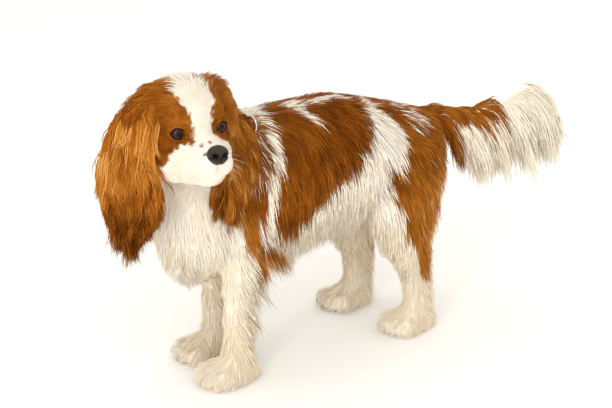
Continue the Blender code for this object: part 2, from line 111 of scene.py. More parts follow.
# How late along its length a lock closes, and how much of its roots' spread it keeps.
LOCK_CLOSING, LOCK_SPREAD = 1.4, 0.12
# The width of a tuft's patch on the layout of the coat.
PATCH = 0.003

# The photograph's viewpoint: turn from the front, rise, distance and target in metres, lens in mm.
PHOTO_TURN = math.radians(51.6)
PHOTO_RISE = math.radians(20)
PHOTO_DISTANCE = 2.3
PHOTO_LENS = 108.235
PHOTO_TARGET = Vector((-0.07128, -0.03660, 0.16))

FLESH = ["trunk", "neck", "head", "muzzle", "lower_jaw", "ear_left", "ear_right", "tail",
         "leg_front_left", "leg_front_right", "leg_hind_left", "leg_hind_right",
         "paw_front_left", "paw_front_right", "paw_hind_left", "paw_hind_right"]
REGIONS = ["trunk", "neck", "head", "ear_left", "ear_right", "tail", "leg_front", "leg_hind",
           "paw"]


def on(regions, *names):
    """Which of the region numbers belong to the named regions."""
    return np.isin(regions, [REGIONS.index(name) for name in names])


def middle_of_eyes():
    """The middle of the two CAD eyes, which fixes where the dog stands in the frame."""
    corners = [np.array(corner) for name in ("eye_left", "eye_right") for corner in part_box(name)]
    return sum(corners) / len(corners)


def head_to_dog(points):
    return EYE_LINE + np.asarray(points, float) @ HEAD_AXES


def dog_to_head(points):
    return (np.asarray(points, float) - EYE_LINE) @ HEAD_AXES.T


ORIGIN = middle_of_eyes() - head_to_dog((CAD_EYES_FORWARD, 0, 0)) * MM


def to_frame(points):
    """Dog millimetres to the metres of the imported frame."""
    return np.asarray(points, float) * MM + ORIGIN


def from_frame(points):
    return (np.asarray(points, float) - ORIGIN) / MM


def unit(vectors):
    return vectors / np.maximum(np.linalg.norm(vectors, axis=-1, keepdims=True), 1e-9)


def step_between(low, high, value):
    """0 below low, 1 above high and a soft slope between them."""
    part = np.clip((value - low) / (high - low), 0, 1)
    return part * part * (3 - 2 * part)


def past(gap, softness=4):
    """1 past an edge, 0 before it, and soft within softness of it."""
    return step_between(-softness, softness, gap)


def thin_line(gap, width):
    """1 on a line, falling off to both sides of it."""
    return np.exp(-(gap / width) ** 2)


def linear(hex_colour):
    """An sRGB hex colour as the linear values that shaders take."""
    values = []
    for start in (1, 3, 5):
        value = int(hex_colour[start:start + 2], 16) / 255
        values.append(value / 12.92 if value <= 0.04045 else ((value + 0.055) / 1.055) ** 2.4)
    return tuple(values)


def colour_property(name, description, hex_colour):
    return FloatVectorProperty(name=name, description=description, subtype="COLOR", size=3,
                               min=0, max=1, default=linear(hex_colour))


class SpanielColours(bpy.types.PropertyGroup):
    """Colours of the coat, the eyes and the collar."""
    chestnut_dark: colour_property("Deep chestnut", "Chestnut hair in its darkest strands",
                                   "#572900")
    chestnut: colour_property("Chestnut", "Chestnut hair", "#8C4A06")
    orange: colour_property("Orange", "Chestnut hair of the ears and thighs", "#B46E20")
    chestnut_light: colour_property("Light chestnut", "Chestnut hair in its lightest strands",
                                    "#E2A55C")
    white: colour_property("White", "White hair", "#FDF5E8")
    # Cream shows where the hair is stained, and also as painted shade low on the legs and belly.
    cream: colour_property("Cream", "White hair where it is stained or thick", "#F4E1C0")
    lid: colour_property("Eye rims", "Bare skin of the lids and lips", "#17100D")
    iris: colour_property("Iris", "Iris of the eyes", "#341A0C")
    nose: colour_property("Nose", "Bare leather of the nose", "#332A20")
    collar: colour_property("Collar", "Leather of the collar", "#2C2420")


class SpanielSizes(bpy.types.PropertyGroup):
    """Sizes of the skin and the coat."""
    skin_voxel: FloatProperty(name="Skin detail", description="Size of the skin's faces",
                              default=3.0 * MM, min=2 * MM, max=8 * MM, unit="LENGTH",
                              subtype="DISTANCE")
    coat_length: FloatProperty(name="Coat length", description="Length of the coat, 1 as in life",
                               default=1.0, min=0.3, max=1.2, subtype="FACTOR")
    coat_fullness: FloatProperty(name="Coat fullness", description="Share of the tufts that are made",
                                 default=1.0, min=0.05, max=1.0, subtype="FACTOR")
    tuft_seed: IntProperty(name="Seed", description="Number that the tufts' variation starts from",
                           default=7, min=0)


def fill(node, inputs):
    """Links or sets a node's inputs by name or number."""
    for name, value in inputs.items():
        if isinstance(value, bpy.types.NodeSocket):
            node.id_data.links.new(value, node.inputs[name])
        else:
            node.inputs[name].default_value = value


def add_node(tree, kind, inputs=None, **settings):
    """Adds a node, sets it up and fills its inputs."""
    made = tree.nodes.new(kind)
    for name, value in settings.items():
        setattr(made, name, value)
    fill(made, inputs or {})
    return made


def new_material(name):
    """A new material with its tree and the Principled shader that ends it."""
    made = bpy.data.materials.new(name)
    made.use_nodes = True
    tree = made.node_tree
    return made, tree, tree.nodes["Principled BSDF"]


def opaque(colour):
    return (*colour, 1.0)


def solid(hex_colour):
    return opaque(linear(hex_colour))


def mixed(tree, factor, first, second):
    """The colour output of a mix of two colours."""
    return add_node(tree, "ShaderNodeMix", {0: factor, 6: first, 7: second},
                    data_type="RGBA").outputs[2]


def marked(tree, name):
    """The values that the mesh carries under name."""
    return add_node(tree, "ShaderNodeAttribute", attribute_name=name).outputs["Fac"]


def maths(tree, operation, first, second, third=0.0, clamp=False):
    return add_node(tree, "ShaderNodeMath", {0: first, 1: second, 2: third},
                    operation=operation, use_clamp=clamp).outputs[0]


def banded(tree, value, stops):
    """A ramp over value, with a stop for each position and colour."""
    made = add_node(tree, "ShaderNodeValToRGB", {0: value})
    bands = made.color_ramp.elements
    for band, (position, colour) in ((bands[0], stops[0]), (bands[1], stops[-1])):
        band.color = colour
        band.position = position
    for position, colour in stops[1:-1]:
        bands.new(position).color = colour
    return made.outputs[0]


def pattern(tree, kind, inputs, **settings):
    """A texture laid out in metres of the frame."""
    place = add_node(tree, "ShaderNodeTexCoord").outputs["Object"]
    return add_node(tree, kind, {"Vector": place, **inputs}, **settings)


def relief(tree, height, strength, depth):
    """Normals of bumps that are depth millimetres deep."""
    return add_node(tree, "ShaderNodeBump", {"Height": height, "Strength": strength,
                                             "Distance": depth * MM}).outputs[0]


def strand_colour(tree, colours):
    """Chestnut or white hair by the markings, light and dark by the strand's own tone."""
    chestnut = banded(tree, marked(tree, "tone"), (
        (0.05, opaque(colours.chestnut_dark)), (0.35, opaque(colours.chestnut)),
        (0.68, opaque(colours.orange)), (1.0, opaque(colours.chestnut_light))))
    # Cream in the white hair: partly stain, partly painted shade low on the body.
    cream = mixed(tree, marked(tree, "stain_and_shade"), opaque(colours.white), opaque(colours.cream))
    return mixed(tree, marked(tree, "chestnut"), cream, chestnut)


def coat_material(colours):
    """Dog hair, soft and dull: a broad weak shine, and strands painted a little darker toward the
    root as shade among the hair.
    """
    made, tree, shader = new_material("spaniel_hair")
    # Painted shade: each strand's colour is 0.85 as bright at its root, rising to 1.03 at its tip.
    shade = maths(tree, "MULTIPLY_ADD", marked(tree, "along"), 0.18, 0.85)
    shaded = add_node(tree, "ShaderNodeHueSaturation",
                      {"Color": strand_colour(tree, colours), "Value": shade})
    fill(shader, {"Base Color": shaded.outputs[0], "Roughness": 0.5, "Specular IOR Level": 0.06})
    return made


def skin_material(colours):
    """Skin under short flat fur: the coat's colours, dull, with relief as wide as a tuft."""
    made, tree, shader = new_material("spaniel_short_fur")
    strands = pattern(tree, "ShaderNodeTexNoise", {"Scale": 900.0, "Detail": 3.0})
    bare = mixed(tree, marked(tree, "bare"), strand_colour(tree, colours), opaque(colours.lid))
    pink = mixed(tree, marked(tree, "pink"), bare, solid("#B98378"))
    fill(shader, {"Base Color": pink, "Normal": relief(tree, strands.outputs[0], 0.35, 0.6),
                  "Roughness": 0.7, "Specular IOR Level": 0.06})
    return made


def eye_material(colours):
    """A living eye: black pupil, dark brown iris and dark rim under a wet clear cornea."""
    made, tree, shader = new_material("wet_eye")
    iris = opaque(colours.iris)
    rings = banded(tree, marked(tree, "gaze"), (
        (0.26, solid("#030202")), (0.31, iris), (0.50, iris), (0.56, solid("#0A0605")),
        (0.62, solid("#0E0806"))))
    fill(shader, {"Base Color": rings, "Roughness": 0.04, "Specular IOR Level": 0.2})
    return made


def nose_material(colours):
    """Nose leather: bare wet skin in pebbles about 0.9 mm across, dull inside the nostrils; nostrils,
    slits and groove are painted near black as shade in these hollows.
    """
    made, tree, shader = new_material("nose_leather")
    pebbles = pattern(tree, "ShaderNodeTexVoronoi", {"Scale": 1150.0}, feature="DISTANCE_TO_EDGE")
    deep = maths(tree, "MULTIPLY", pebbles.outputs["Distance"], 4.0, clamp=True)
    groove = marked(tree, "bare")
    # Painted shade: the marks carried as bare are the nostrils, the slits and the groove, painted
    # near black for the shade in these hollows.
    colour = mixed(tree, groove, opaque(colours.nose), solid("#040302"))
    shine = maths(tree, "MULTIPLY_ADD", groove, -0.2, 0.2, clamp=True)
    fill(shader, {"Base Color": colour, "Normal": relief(tree, deep, 0.7, 0.3),
                  "Roughness": 0.36, "Specular IOR Level": shine})
    return made


def collar_material(colour):
    """Strap leather: dark dyed hide, waxed, with pores 0.5 mm apart and a soft worn shine."""
    made, tree, shader = new_material("strap_leather")
    pores = pattern(tree, "ShaderNodeTexVoronoi", {"Scale": 2000.0})
    worn = pattern(tree, "ShaderNodeTexNoise", {"Scale": 120.0, "Detail": 4.0})
    lighter = tuple(min(1.0, 1.8 * value) for value in colour)
    shade = mixed(tree, worn.outputs[0], opaque(colour), opaque(lighter))
    fill(shader, {"Base Color": shade, "Roughness": 0.45,
                  "Normal": relief(tree, pores.outputs["Distance"], 0.4, 0.1)})
    return made


def steel_material():
    """Nickel-plated steel: drawn wire, polished bright, with faint wear that dulls the shine."""
    made, tree, shader = new_material("nickel_plated_steel")
    wear = pattern(tree, "ShaderNodeTexNoise", {"Scale": 700.0, "Detail": 3.0})
    rough = maths(tree, "MULTIPLY_ADD", wear.outputs[0], 0.22, 0.12)
    fill(shader, {"Base Color": solid("#C9C6C0"), "Metallic": 1.0, "Roughness": rough})
    return made


def plain_material(name, hex_colour, roughness):
    made, _, shader = new_material(name)
    fill(shader, {"Base Color": solid(hex_colour), "Roughness": roughness})
    return made


def in_scene(name, data):
    """A new object of the scene that shows data."""
    made = bpy.data.objects.new(name, data)
    bpy.context.scene.collection.objects.link(made)
    return made


def carry(mesh, name, values):
    """Gives a mesh one value for each of its points, for the materials to read."""
    layer = mesh.attributes.new(name, "FLOAT", "POINT")
    layer.data.foreach_set("value", values.astype(np.float32))


def smooth_mesh(name, points, faces, material):
    mesh = bpy.data.meshes.new(name)
    mesh.from_pydata(points, [], faces)
    mesh.materials.append(material)
    mesh.polygons.foreach_set("use_smooth", [True] * len(mesh.polygons))
    return in_scene(name, mesh)


def triangle_object(name, points, triangles, material, attributes):
    """A triangle mesh from arrays in dog millimetres, with values on its points."""
    mesh = bpy.data.meshes.new(name)
    mesh.vertices.add(len(points))
    mesh.vertices.foreach_set("co", to_frame(points).astype(np.float32).ravel())
    mesh.loops.add(3 * len(triangles))
    mesh.loops.foreach_set("vertex_index", triangles.astype(np.int32).ravel())
    mesh.polygons.add(len(triangles))
    mesh.polygons.foreach_set("loop_start", np.arange(0, 3 * len(triangles), 3, dtype=np.int32))
    mesh.update(calc_edges=True)
    mesh.polygons.foreach_set("use_smooth", np.ones(len(triangles), bool))
    for key, values in attributes.items():
        carry(mesh, key, values)
    mesh.materials.append(material)
    return in_scene(name, mesh)


def sphere(segments, rings, radius):
    """Points and faces of a sphere round (0, 0, 0)."""
    bm = bmesh.new()
    bmesh.ops.create_uvsphere(bm, u_segments=segments, v_segments=rings, radius=radius)
    points = np.array([vert.co for vert in bm.verts])
    faces = [[vert.index for vert in face.verts] for face in bm.faces]
    bm.free()
    return points, faces


class Clay:
    """Rough shapes of the flesh under the coat, each with the region it belongs to."""

    def __init__(self):
        self.bm = bmesh.new()
        self.spots = []

    def remember(self, region, first):
        """Notes the region of the points that are numbered from first onward."""
        self.bm.verts.ensure_lookup_table()
        for index in range(first, len(self.bm.verts)):
            self.spots.append((self.bm.verts[index].co.copy(), REGIONS.index(region)))

    def loft(self, region, stations, across, deep, sides=20):
        """Skin between elliptical sections: centre, half size across, half size deep."""
        first = len(self.bm.verts)
        turns = np.arange(sides) * 2 * math.pi / sides
        rings = []
        for centre, half_across, half_deep in stations:
            ring = (np.asarray(centre, float)
                    + np.outer(np.cos(turns) * half_across, across)
                    + np.outer(np.sin(turns) * half_deep, deep))
            rings.append([self.bm.verts.new(point) for point in ring])
        for lower, upper in zip(rings, rings[1:]):
            for index in range(sides):
                after = (index + 1) % sides
                self.bm.faces.new((lower[index], lower[after], upper[after], upper[index]))
        self.bm.faces.new(rings[0][::-1])
        self.bm.faces.new(rings[-1])
        self.remember(region, first)

    def ball(self, region, centre, radii, axes=BODY_AXES):
        first = len(self.bm.verts)
        placed = Matrix((axes * np.asarray(radii, float)[:, None]).T.tolist()).to_4x4()
        placed = Matrix.Translation(Vector(centre)) @ placed
        bmesh.ops.create_uvsphere(self.bm, u_segments=24, v_segments=14, radius=1, matrix=placed)
        self.remember(region, first)


def model_trunk(clay):
    """Ribs, back, loin and rump: y, top, bottom and half width; then the breast."""
    profile = [(-190, 226, 160, 26), (-178, 252, 144, 40), (-155, 286, 128, 48),
               (-120, 307, 126, 57), (-80, 313, 134, 63), (-40, 312, 142, 67),
               (0, 312, 150, 67), (40, 311, 154, 66), (80, 303, 160, 65), (120, 291, 158, 64),
               (160, 278, 152, 60), (186, 269, 160, 50), (202, 260, 176, 36), (212, 250, 196, 22)]
    stations = [((0, y, (top + low) / 2), wide, (top - low) / 2) for y, top, low, wide in profile]
    clay.loft("trunk", stations, BODY_AXES[0], UP)
    clay.ball("neck", (2, -166, 205), (37, 30, 54))


def model_neck(clay):
    stations = [((0, -84, 218), 58, 76), ((5, -122, 254), 53, 68), ((17, -158, 290), 47, 57),
                ((32, -188, 320), 42, 46), ((44, -202, 338), 34, 36)]
    clay.loft("neck", stations, BODY_AXES[0], np.array((0, 0.69, 0.72)))


def model_head(clay):
    """Skull, brows, cheeks, cushioned muzzle and chin, in the head's own directions."""
    def ball(centre, radii):
        clay.ball("head", head_to_dog(centre), radii, HEAD_AXES)

    ball((-42, 0, 8), (51, 41, 43))
    ball((-30, 0, -14), (41, 42, 35))
    for side in (-1, 1):
        ball((-12, side * 18, 18), (18.5, 14.5, 14.5))
        ball((-8, side * 24, 0), (12.6, 12.6, 12))
        ball((-16, side * 24, -29), (27, 17, 26))
        ball((4, side * 17, -33), (25, 13.5, 15))
        ball((26, side * 11, -29), (21, 12.5, 14.5))
        ball((-20, side * 22, -42), (24, 16, 17.5))
        ball((-46, side * 32, 25), (21, 12.5, 18))
    stations = [(head_to_dog(centre), wide, deep) for centre, wide, deep in (
        ((-16, 0, -22), 29, 29), ((4, 0, -22), 22.5, 26), ((24, 0, -24), 20, 23),
        ((38, 0, -26), 18, 20), ((46, 0, -27), 13, 15))]
    clay.loft("head", stations, LEFT, UP)
    ball((12, 0, -41.5), (31, 18, 15))
    ball((-14, 0, -44), (34, 26, 18))


def ear_axes(side):
    """The directions across an ear flap and out of its face."""
    across = -math.cos(EAR_TURN) * FORWARD + side * math.sin(EAR_TURN) * LEFT
    facing = math.sin(EAR_TURN) * FORWARD + side * math.cos(EAR_TURN) * LEFT
    return across, facing


# Each ear from its root down: up, forward, out and half width.
EAR_STATIONS = {
    -1: [(38, -38, 36, 9), (29, -40, 43, 17), (12, -45, 52, 26), (-14, -49, 59, 31),
         (-42, -50, 63, 36), (-71, -50, 63, 37), (-92, -49, 61, 31), (-106, -52, 60, 20)],
    1: [(38, -38, 38, 9), (29, -40, 47, 15), (12, -40, 52, 20), (-14, -38, 51, 25),
        (-44, -32, 53, 28), (-66, -26, 54, 30), (-82, -22, 54, 27), (-90, -20, 54, 20)],
}
EAR_HALF_THICKNESS = 4.5


def model_ear(clay, side):
    """A hanging ear flap."""
    across, facing = ear_axes(side)
    stations = [(head_to_dog((forward, side * out, up)), wide, EAR_HALF_THICKNESS)
                for up, forward, out, wide in EAR_STATIONS[side]]
    clay.loft("ear_left" if side > 0 else "ear_right", stations, across, facing)


# Each pair of legs: its side, and how far back it stands from the left one.
LEGS = {"front": ((1, 0), (-1, 22)), "hind": ((1, 0), (-1, -12))}
# Each leg from the body down: out, along the body, height, half width and half depth.
LEG_STATIONS = {
    "front": ((36, -104, 205, 22, 40), (38, -114, 160, 18, 24), (38, -120, 118, 14, 16),
              (38, -121, 75, 12.5, 13.5), (38, -121, 40, 13, 14.5), (38, -121, 12, 16, 19)),
    "hind": ((34, 138, 245, 28, 50), (40, 134, 200, 29, 54), (44, 130, 158, 27, 48),
             (46, 132, 122, 22, 38), (50, 142, 94, 17, 26), (50, 150, 70, 15, 19),
             (52, 152, 42, 14.5, 18), (54, 150, 12, 16, 19)),
}


def model_leg(clay, key, side, back):
    """A leg; where a foreleg stands back, its shoulder moves half as far."""
    stations = []
    for number, (out, along, height, wide, deep) in enumerate(LEG_STATIONS[key]):
        share = 0.5 if key == "front" and number == 0 else 1
        stations.append(((out * side, along + share * back, height), wide, deep))
    clay.loft(f"leg_{key}", stations, BODY_AXES[0], BODY_AXES[1])


def toe_reach(spread, half_length):
    """A toe's place along the body from the middle of its paw: the middle two lead."""
    return -half_length + 18 + abs(spread) * 5


def model_paw(clay, centre_x, centre_y, half_length):
    """A round paw with four toes."""
    clay.ball("paw", (centre_x, centre_y + 7, 9.5), (22.5, half_length - 9.5, 20))
    for spread in PAW_TOES:
        place = (centre_x + TOE_GAP * spread, centre_y + toe_reach(spread, half_length), 9.5)
        clay.ball("paw", place, (8.4, 14, 12.5))


def model_tail(clay):
    """The tail itself, carried straight back inside its plume."""
    stations = [((0, y, z), half, half) for y, z, half, _ in TAIL_CORE]
    clay.loft("tail", stations, BODY_AXES[0], UP, sides=12)


# Each paw: its middle across and along the body, and half its length.
PAWS = ((38, -137, 41), (-38, -118, 41), (55, 134, 42), (-55, 122, 42))


def model_body():
    clay = Clay()
    model_trunk(clay)
    model_neck(clay)
    model_head(clay)
    model_tail(clay)
    for side in (-1, 1):
        model_ear(clay, side)
    for key, pair in LEGS.items():
        for side, back in pair:
            model_leg(clay, key, side, back)
    for paw in PAWS:
        model_paw(clay, *paw)
    bmesh.ops.recalc_face_normals(clay.bm, faces=clay.bm.faces)
    return clay


def fused_skin(clay, voxel):
    """The rough shapes as one closed surface, as a mesh in dog millimetres."""
    mesh = bpy.data.meshes.new("rough_skin")
    clay.bm.to_mesh(mesh)
    clay.bm.free()
    rough = in_scene("rough_skin", mesh)
    remesh = rough.modifiers.new("Remesh", "REMESH")
    remesh.mode = "VOXEL"
    remesh.voxel_size = voxel
    smooth = rough.modifiers.new("Smooth", "SMOOTH")
    smooth.factor = 0.5
    smooth.iterations = 5
    depsgraph = bpy.context.evaluated_depsgraph_get()
    fused = bpy.data.meshes.new_from_object(rough.evaluated_get(depsgraph), depsgraph=depsgraph)
    bpy.data.objects.remove(rough)
    return fused


def refine(bm, centre, radius):
    """Halves the faces within radius of centre and evens them out."""
    centre = Vector(centre)
    chosen = [edge for edge in bm.edges
              if all((vert.co - centre).length < radius for vert in edge.verts)]
    bmesh.ops.subdivide_edges(bm, edges=chosen, cuts=1, use_grid_fill=True)
    bmesh.ops.triangulate(bm, faces=[face for face in bm.faces if len(face.verts) > 4])
    verts = [vert for vert in bm.verts if (vert.co - centre).length < radius - 2]
    for _ in range(2):
        bmesh.ops.smooth_vert(bm, verts=verts, factor=0.4, use_axis_x=True, use_axis_y=True,
                              use_axis_z=True)


def eye_frame(side):
    """The eye's centre, its gaze, and the directions across and up its opening."""
    centre = EYE_CENTRE * (1, side, 1)
    gaze = unit(np.array((math.cos(EYE_TURN), side * math.sin(EYE_TURN), 0.06)))
    across = unit(np.array((-math.sin(EYE_TURN), side * math.cos(EYE_TURN), 0.06)))
    return centre, gaze, across, np.cross(gaze, across) * side


def lid_measure(points, side):
    """How far points lie from the lids' opening: 1 on its rim, less inside it."""
    centre, gaze, across, upward = eye_frame(side)
    offset = unit(points - centre) * EYE_RADIUS
    wide = offset @ across / LID_HALF_WIDTH
    arch = 1.12 - np.clip(np.abs(wide), 0, 1.05) ** LID_SQUARENESS
    high = offset @ upward / (LID_HALF_HEIGHT * np.sqrt(np.clip(arch, 0.03, 1)))
    outside = np.sqrt(wide ** 2 + high ** 2 * np.where(np.abs(wide) < 1, 1, 0.35))
    outside += 2.5 * np.maximum(np.abs(wide) - 1, 0)
    far = np.linalg.norm(points - centre, axis=1) > 2.2 * EYE_RADIUS
    return np.where((offset @ gaze > 0) & ~far, outside, FAR_FROM_LIDS)


def open_lids(points):
    """Sinks the sockets behind the eyes, and lays lids over the eyeballs round the openings."""
    for side in (-1, 1):
        centre, gaze, _, upward = eye_frame(side)
        offset = points - centre
        away = np.linalg.norm(offset, axis=1)
        measure = lid_measure(points, side)
        ahead = step_between(-0.35, 0.1, offset @ gaze / np.maximum(away, 1e-6))
        inside = 1 - step_between(0.9, 1.0, measure)
        brow = step_between(-2, 5, offset @ upward)
        lid = EYE_RADIUS + LID_THICKNESS + (0.7 + 0.7 * brow) * step_between(1.0, 1.35, measure)
        fold = 0.9 * brow * thin_line(measure - 1.75, 0.14)
        close = 1 - step_between(1.25, 2.2, measure)
        reach = away + close * np.clip(lid - away, -6, 6)
        reach = np.where(ahead > 0.5, np.maximum(reach, lid), reach) - fold
        reach = reach * (1 - inside) + inside * (EYE_RADIUS - SOCKET_DEPTH)
        moved = (measure < 2.4) | ((ahead > 0.5) & (away < EYE_RADIUS + 2.5))
        points = np.where(moved[:, None], centre + unit(offset) * reach[:, None], points)
    return points


# The line of the left lips from the nose to the corner, in the head's directions.
MOUTH = np.array([(50, 0, -35), (48, 5, -38), (43, 11, -41), (34, 16, -43.5), (22, 20, -45),
                  (8, 24, -44), (-4, 27, -42)], float)


def distance_to_path(points, path):
    """Shortest distance from each point to a line through path."""
    best = np.full(len(points), 1e9)
    for start, end in zip(path, path[1:]):
        run = end - start
        part = np.clip((points - start) @ run / (run @ run), 0, 1)
        best = np.minimum(best, np.linalg.norm(points - start - part[:, None] * run, axis=1))
    return best


def folded(points):
    """Points with the right half of the head turned onto the left."""
    return np.stack([points[:, 0], np.abs(points[:, 1]), points[:, 2]], 1)


def shape_face(points):
    """Eyelids, the lip line and the groove under the nose, at points in the head's directions."""
    points = open_lids(points)
    lip = distance_to_path(folded(points), MOUTH)
    crease = thin_line(lip, 1.7)
    groove = thin_line(points[:, 1], 1.4) * step_between(40, 46, points[:, 0])
    groove *= step_between(-40, -36, points[:, 2])
    inward = unit(points - np.array((20, 0, -32)))
    return points - inward * (1.6 * crease + 1.3 * groove)[:, None]


def wobble(points, size, seed):
    """Smooth unevenness between -1 and 1, in patches about size millimetres across."""
    rng = np.random.default_rng(seed)
    total = np.zeros(len(points))
    waves = 6
    for _ in range(waves):
        wave = rng.normal(size=3) * 2 * math.pi / (size * 2.2)
        total += np.sin(points @ wave + rng.uniform(0, 2 * math.pi))
    return total * 2 / waves


# Edges of the markings, each from low to high: the height, and how far back along the body.
SADDLE_FRONT = ((178, -80), (209, -85), (226, -82), (240, -78), (260, -72), (288, -66), (305, -60),
                (313, -54))
SADDLE_REAR = ((176, -52), (190, -34), (202, -24), (213, -8), (224, 12), (231, 31), (244, 46),
               (258, 58), (272, 68), (287, 78), (297, 88), (306, 94))
RUMP_FRONT = ((200, 108), (215, 110), (246, 118), (260, 122), (278, 113), (290, 104), (298, 102))
THIGH_FRONT = ((60, 152), (72, 150), (100, 140), (136, 119), (168, 110), (191, 96), (225, 82))
THIGH_REAR = ((60, 157), (100, 166), (136, 174), (168, 196), (200, 250))
NECK_FRONT = ((150, -112), (165, -118), (200, -128), (240, -130), (300, -112))
STREAK = ((150, -84), (165, -90), (182, -99), (201, -94), (226, -90), (248, -80), (281, -75),
          (304, -64), (309, -61))
RUMP_FLECKS = ((301, 2.4), (316, 2.8), (290, 1.8))


def along_edge(heights, edge):
    """How far along the body an edge runs at each height."""
    return np.interp(heights, *np.array(edge, float).T)


def saddle_markings(points, uneven):
    """The chestnut blanket, cut by a white wedge on its left side and white along the spine."""
    x, y, z = points.T
    left = step_between(-6, 0, x)
    hidden = (1 - left) * 10
    along = y + uneven
    made = past(along - along_edge(z, SADDLE_FRONT) - hidden)
    made *= past(along_edge(z, SADDLE_REAR) + hidden * 0.6 - along)
    made *= step_between(170, 178, z)
    cut = 7.5 * step_between(288, 314, z)
    wedge = np.abs(y - np.interp(z, (290, 314), (2, -14)) + 0.4 * uneven)
    made *= 1 - left * (1 - step_between(cut - 2.5, cut + 2.5, wedge)) * step_between(288, 294, z)
    spine = thin_line(x - 9, 7) * step_between(303, 309, z)
    return made * (1 - 0.75 * spine * step_between(-10, 20, y))


def hind_markings(points, uneven):
    """The rump's patch with its white flecks, the thighs, and the tail's chestnut half."""
    x, y, z = points.T
    rump = past(y + uneven - along_edge(z, RUMP_FRONT)) * step_between(206, 222, z)
    rump *= 1 - step_between(214, 226, y)
    slant = y + 0.55 * z
    for place, width in RUMP_FLECKS:
        rump *= 1 - 0.85 * thin_line(slant - place + 0.5 * uneven, width) * step_between(250, 262, z)
    thigh = past(y + uneven - along_edge(z, THIGH_FRONT))
    thigh *= past(along_edge(z, THIGH_REAR) - (y + uneven))
    thigh *= step_between(66, 76, z) * (1 - step_between(216, 232, z))
    thigh *= step_between(30, 48, np.abs(x))
    core = np.interp(y, [row[0] for row in TAIL_CORE], [row[1] for row in TAIL_CORE])
    tail = step_between(196, 206, y) * (1 - step_between(296, 318, y + 0.6 * uneven))
    tail *= np.maximum(step_between(3, 7, z - core), 1 - step_between(224, 240, y + 0.5 * uneven))
    return np.maximum.reduce([rump, thigh, tail])


def neck_markings(points, uneven):
    """The patch behind the ear, ahead of the white streak, and the one over the elbow."""
    x, y, z = points.T
    neck = past(y + uneven - along_edge(z, NECK_FRONT))
    neck *= past(along_edge(z, STREAK) - 5 - (y + uneven), 3) * step_between(148, 158, z)
    neck *= step_between(26, 40, np.abs(x) + 0.25 * (z - 240))
    neck *= 1 - 0.15 * step_between(226, 244, z)
    elbow = np.hypot((y + 84) / 24, (z - 142) / 25)
    elbow = (1 - step_between(0.85, 1.1, elbow)) * step_between(38, 50, np.abs(x)) * (y < -60)
    return np.maximum(neck, elbow)


def body_markings(points):
    """Share of chestnut hair on the body, from 0 in white to 1 in chestnut, with ragged edges."""
    uneven = 5 * wobble(points * (1, 1, 0.35), 14, 3) + 2.5 * wobble(points * (1, 1, 0.3), 5, 4)
    parts = [made(points, uneven) for made in (saddle_markings, hind_markings, neck_markings)]
    return np.clip(np.maximum.reduce(parts), 0, 1)


# Half width of the blaze at each height, and the lower edge of the chestnut at each distance out.
BLAZE = ((-60, 11), (-10, 13), (-2, 13), (5, 9.5), (16, 10.5), (25, 15.5), (31, 19), (40, 20),
         (47, 17), (53, 12))
CHEEK_LOW = ((9, -1), (13, -3), (22, -11), (31, -16), (37, -24), (42, -44), (60, -52))
FRECKLES = (((14, -14, -8), 7, 1.0), ((28, -10, -8), 5, 0.8), ((32, -2.5, -4), 3.6, 0.75),
            ((41, -13, -13), 3.6, 1.0))


def head_markings(points):
    """Share of chestnut hair on the head: a white blaze and muzzle between chestnut sides."""
    head = dog_to_head(points)
    forward, out, up = head[:, 0], np.abs(head[:, 1]), head[:, 2]
    uneven = 1.8 * wobble(points, 6, 11)
    top = past(out - along_edge(up, BLAZE) + uneven, 1.6)
    low = past(up - along_edge(out, CHEEK_LOW) + uneven, 1.8)
    sides = top * np.where(up < 3, low, 1)
    sides *= step_between(-112, -104, forward)
    freckle = np.zeros(len(points))
    for centre, radius, depth in FRECKLES:
        away = np.linalg.norm((head - centre) / (1.2, 1, 0.8), axis=1)
        freckle = np.maximum(freckle, depth * (1 - step_between(0.4 * radius, radius, away)))
    return np.clip(np.maximum(sides, freckle), 0, 1)


def markings(points, regions):
    """Share of chestnut hair at points of the given regions."""
    body = body_markings(points)
    head = head_markings(points)
    forward, _, up = dog_to_head(points).T
    near_head = step_between(-78, -66, forward) * step_between(-66, -56, up)
    made = np.where(on(regions, "head"), head, body)
    made = np.where(on(regions, "neck"), body * (1 - near_head) + head * near_head, made)
    return np.where(on(regions, "ear_left", "ear_right"), 1.0, made)


def stain_and_shade_at(points):
    """Share of cream in the white hair: stain that varies from place to place, and painted shade that
    grows toward the bottom, most on the legs and the belly.
    """
    # Painted shade: more cream low on the body, where the hair lies in shade.
    low = 1 - step_between(60, 200, points[:, 2])
    return np.clip(0.25 + 0.45 * low + 0.2 * wobble(points, 30, 21), 0, 1)


def tone_at(points, regions):
    """How light the chestnut is: deep on the saddle and face, orange on ears and thighs; on the head
    lighter toward the crown, with a painted highlight along the brow and painted shade low on the
    cheek beside the ear.
    """
    _, y, z = points.T
    forward, _, up = dog_to_head(points).T
    made = 0.3 + 0.12 * step_between(100, 130, y) + 0.25 * (1 - step_between(150, 235, z)) * (y > 90)
    made += 0.3 * step_between(150, 180, y) * (1 - step_between(190, 230, z))
    made += 0.3 * (y < np.where(z < 178, -50, -84)) * (1 - step_between(195, 245, z))
    # Painted highlight: lighter chestnut in a band along the brow over the eyes.
    brow = thin_line(up - 13, 5) * step_between(-14, -4, forward)
    # Painted shade: darker chestnut low at the back of the cheek, beside and under the hanging ear.
    cheek_shade = (1 - step_between(-34, -14, forward)) * (1 - step_between(0, 16, up))
    on_head = 0.27 + (0.2 * step_between(8, 34, up) + 0.2 * brow) - 0.16 * cheek_shade
    made = np.where(on(regions, "head") | (forward > -60) & (up > -60), on_head, made)
    ear = 0.56 - 0.14 * (1 - step_between(-95, -55, up)) - 0.08 * step_between(0, 30, up)
    made = np.where(on(regions, "ear_left", "ear_right"), ear, made)
    return np.clip(made + 0.1 * wobble(points, 26, 31), 0, 1)


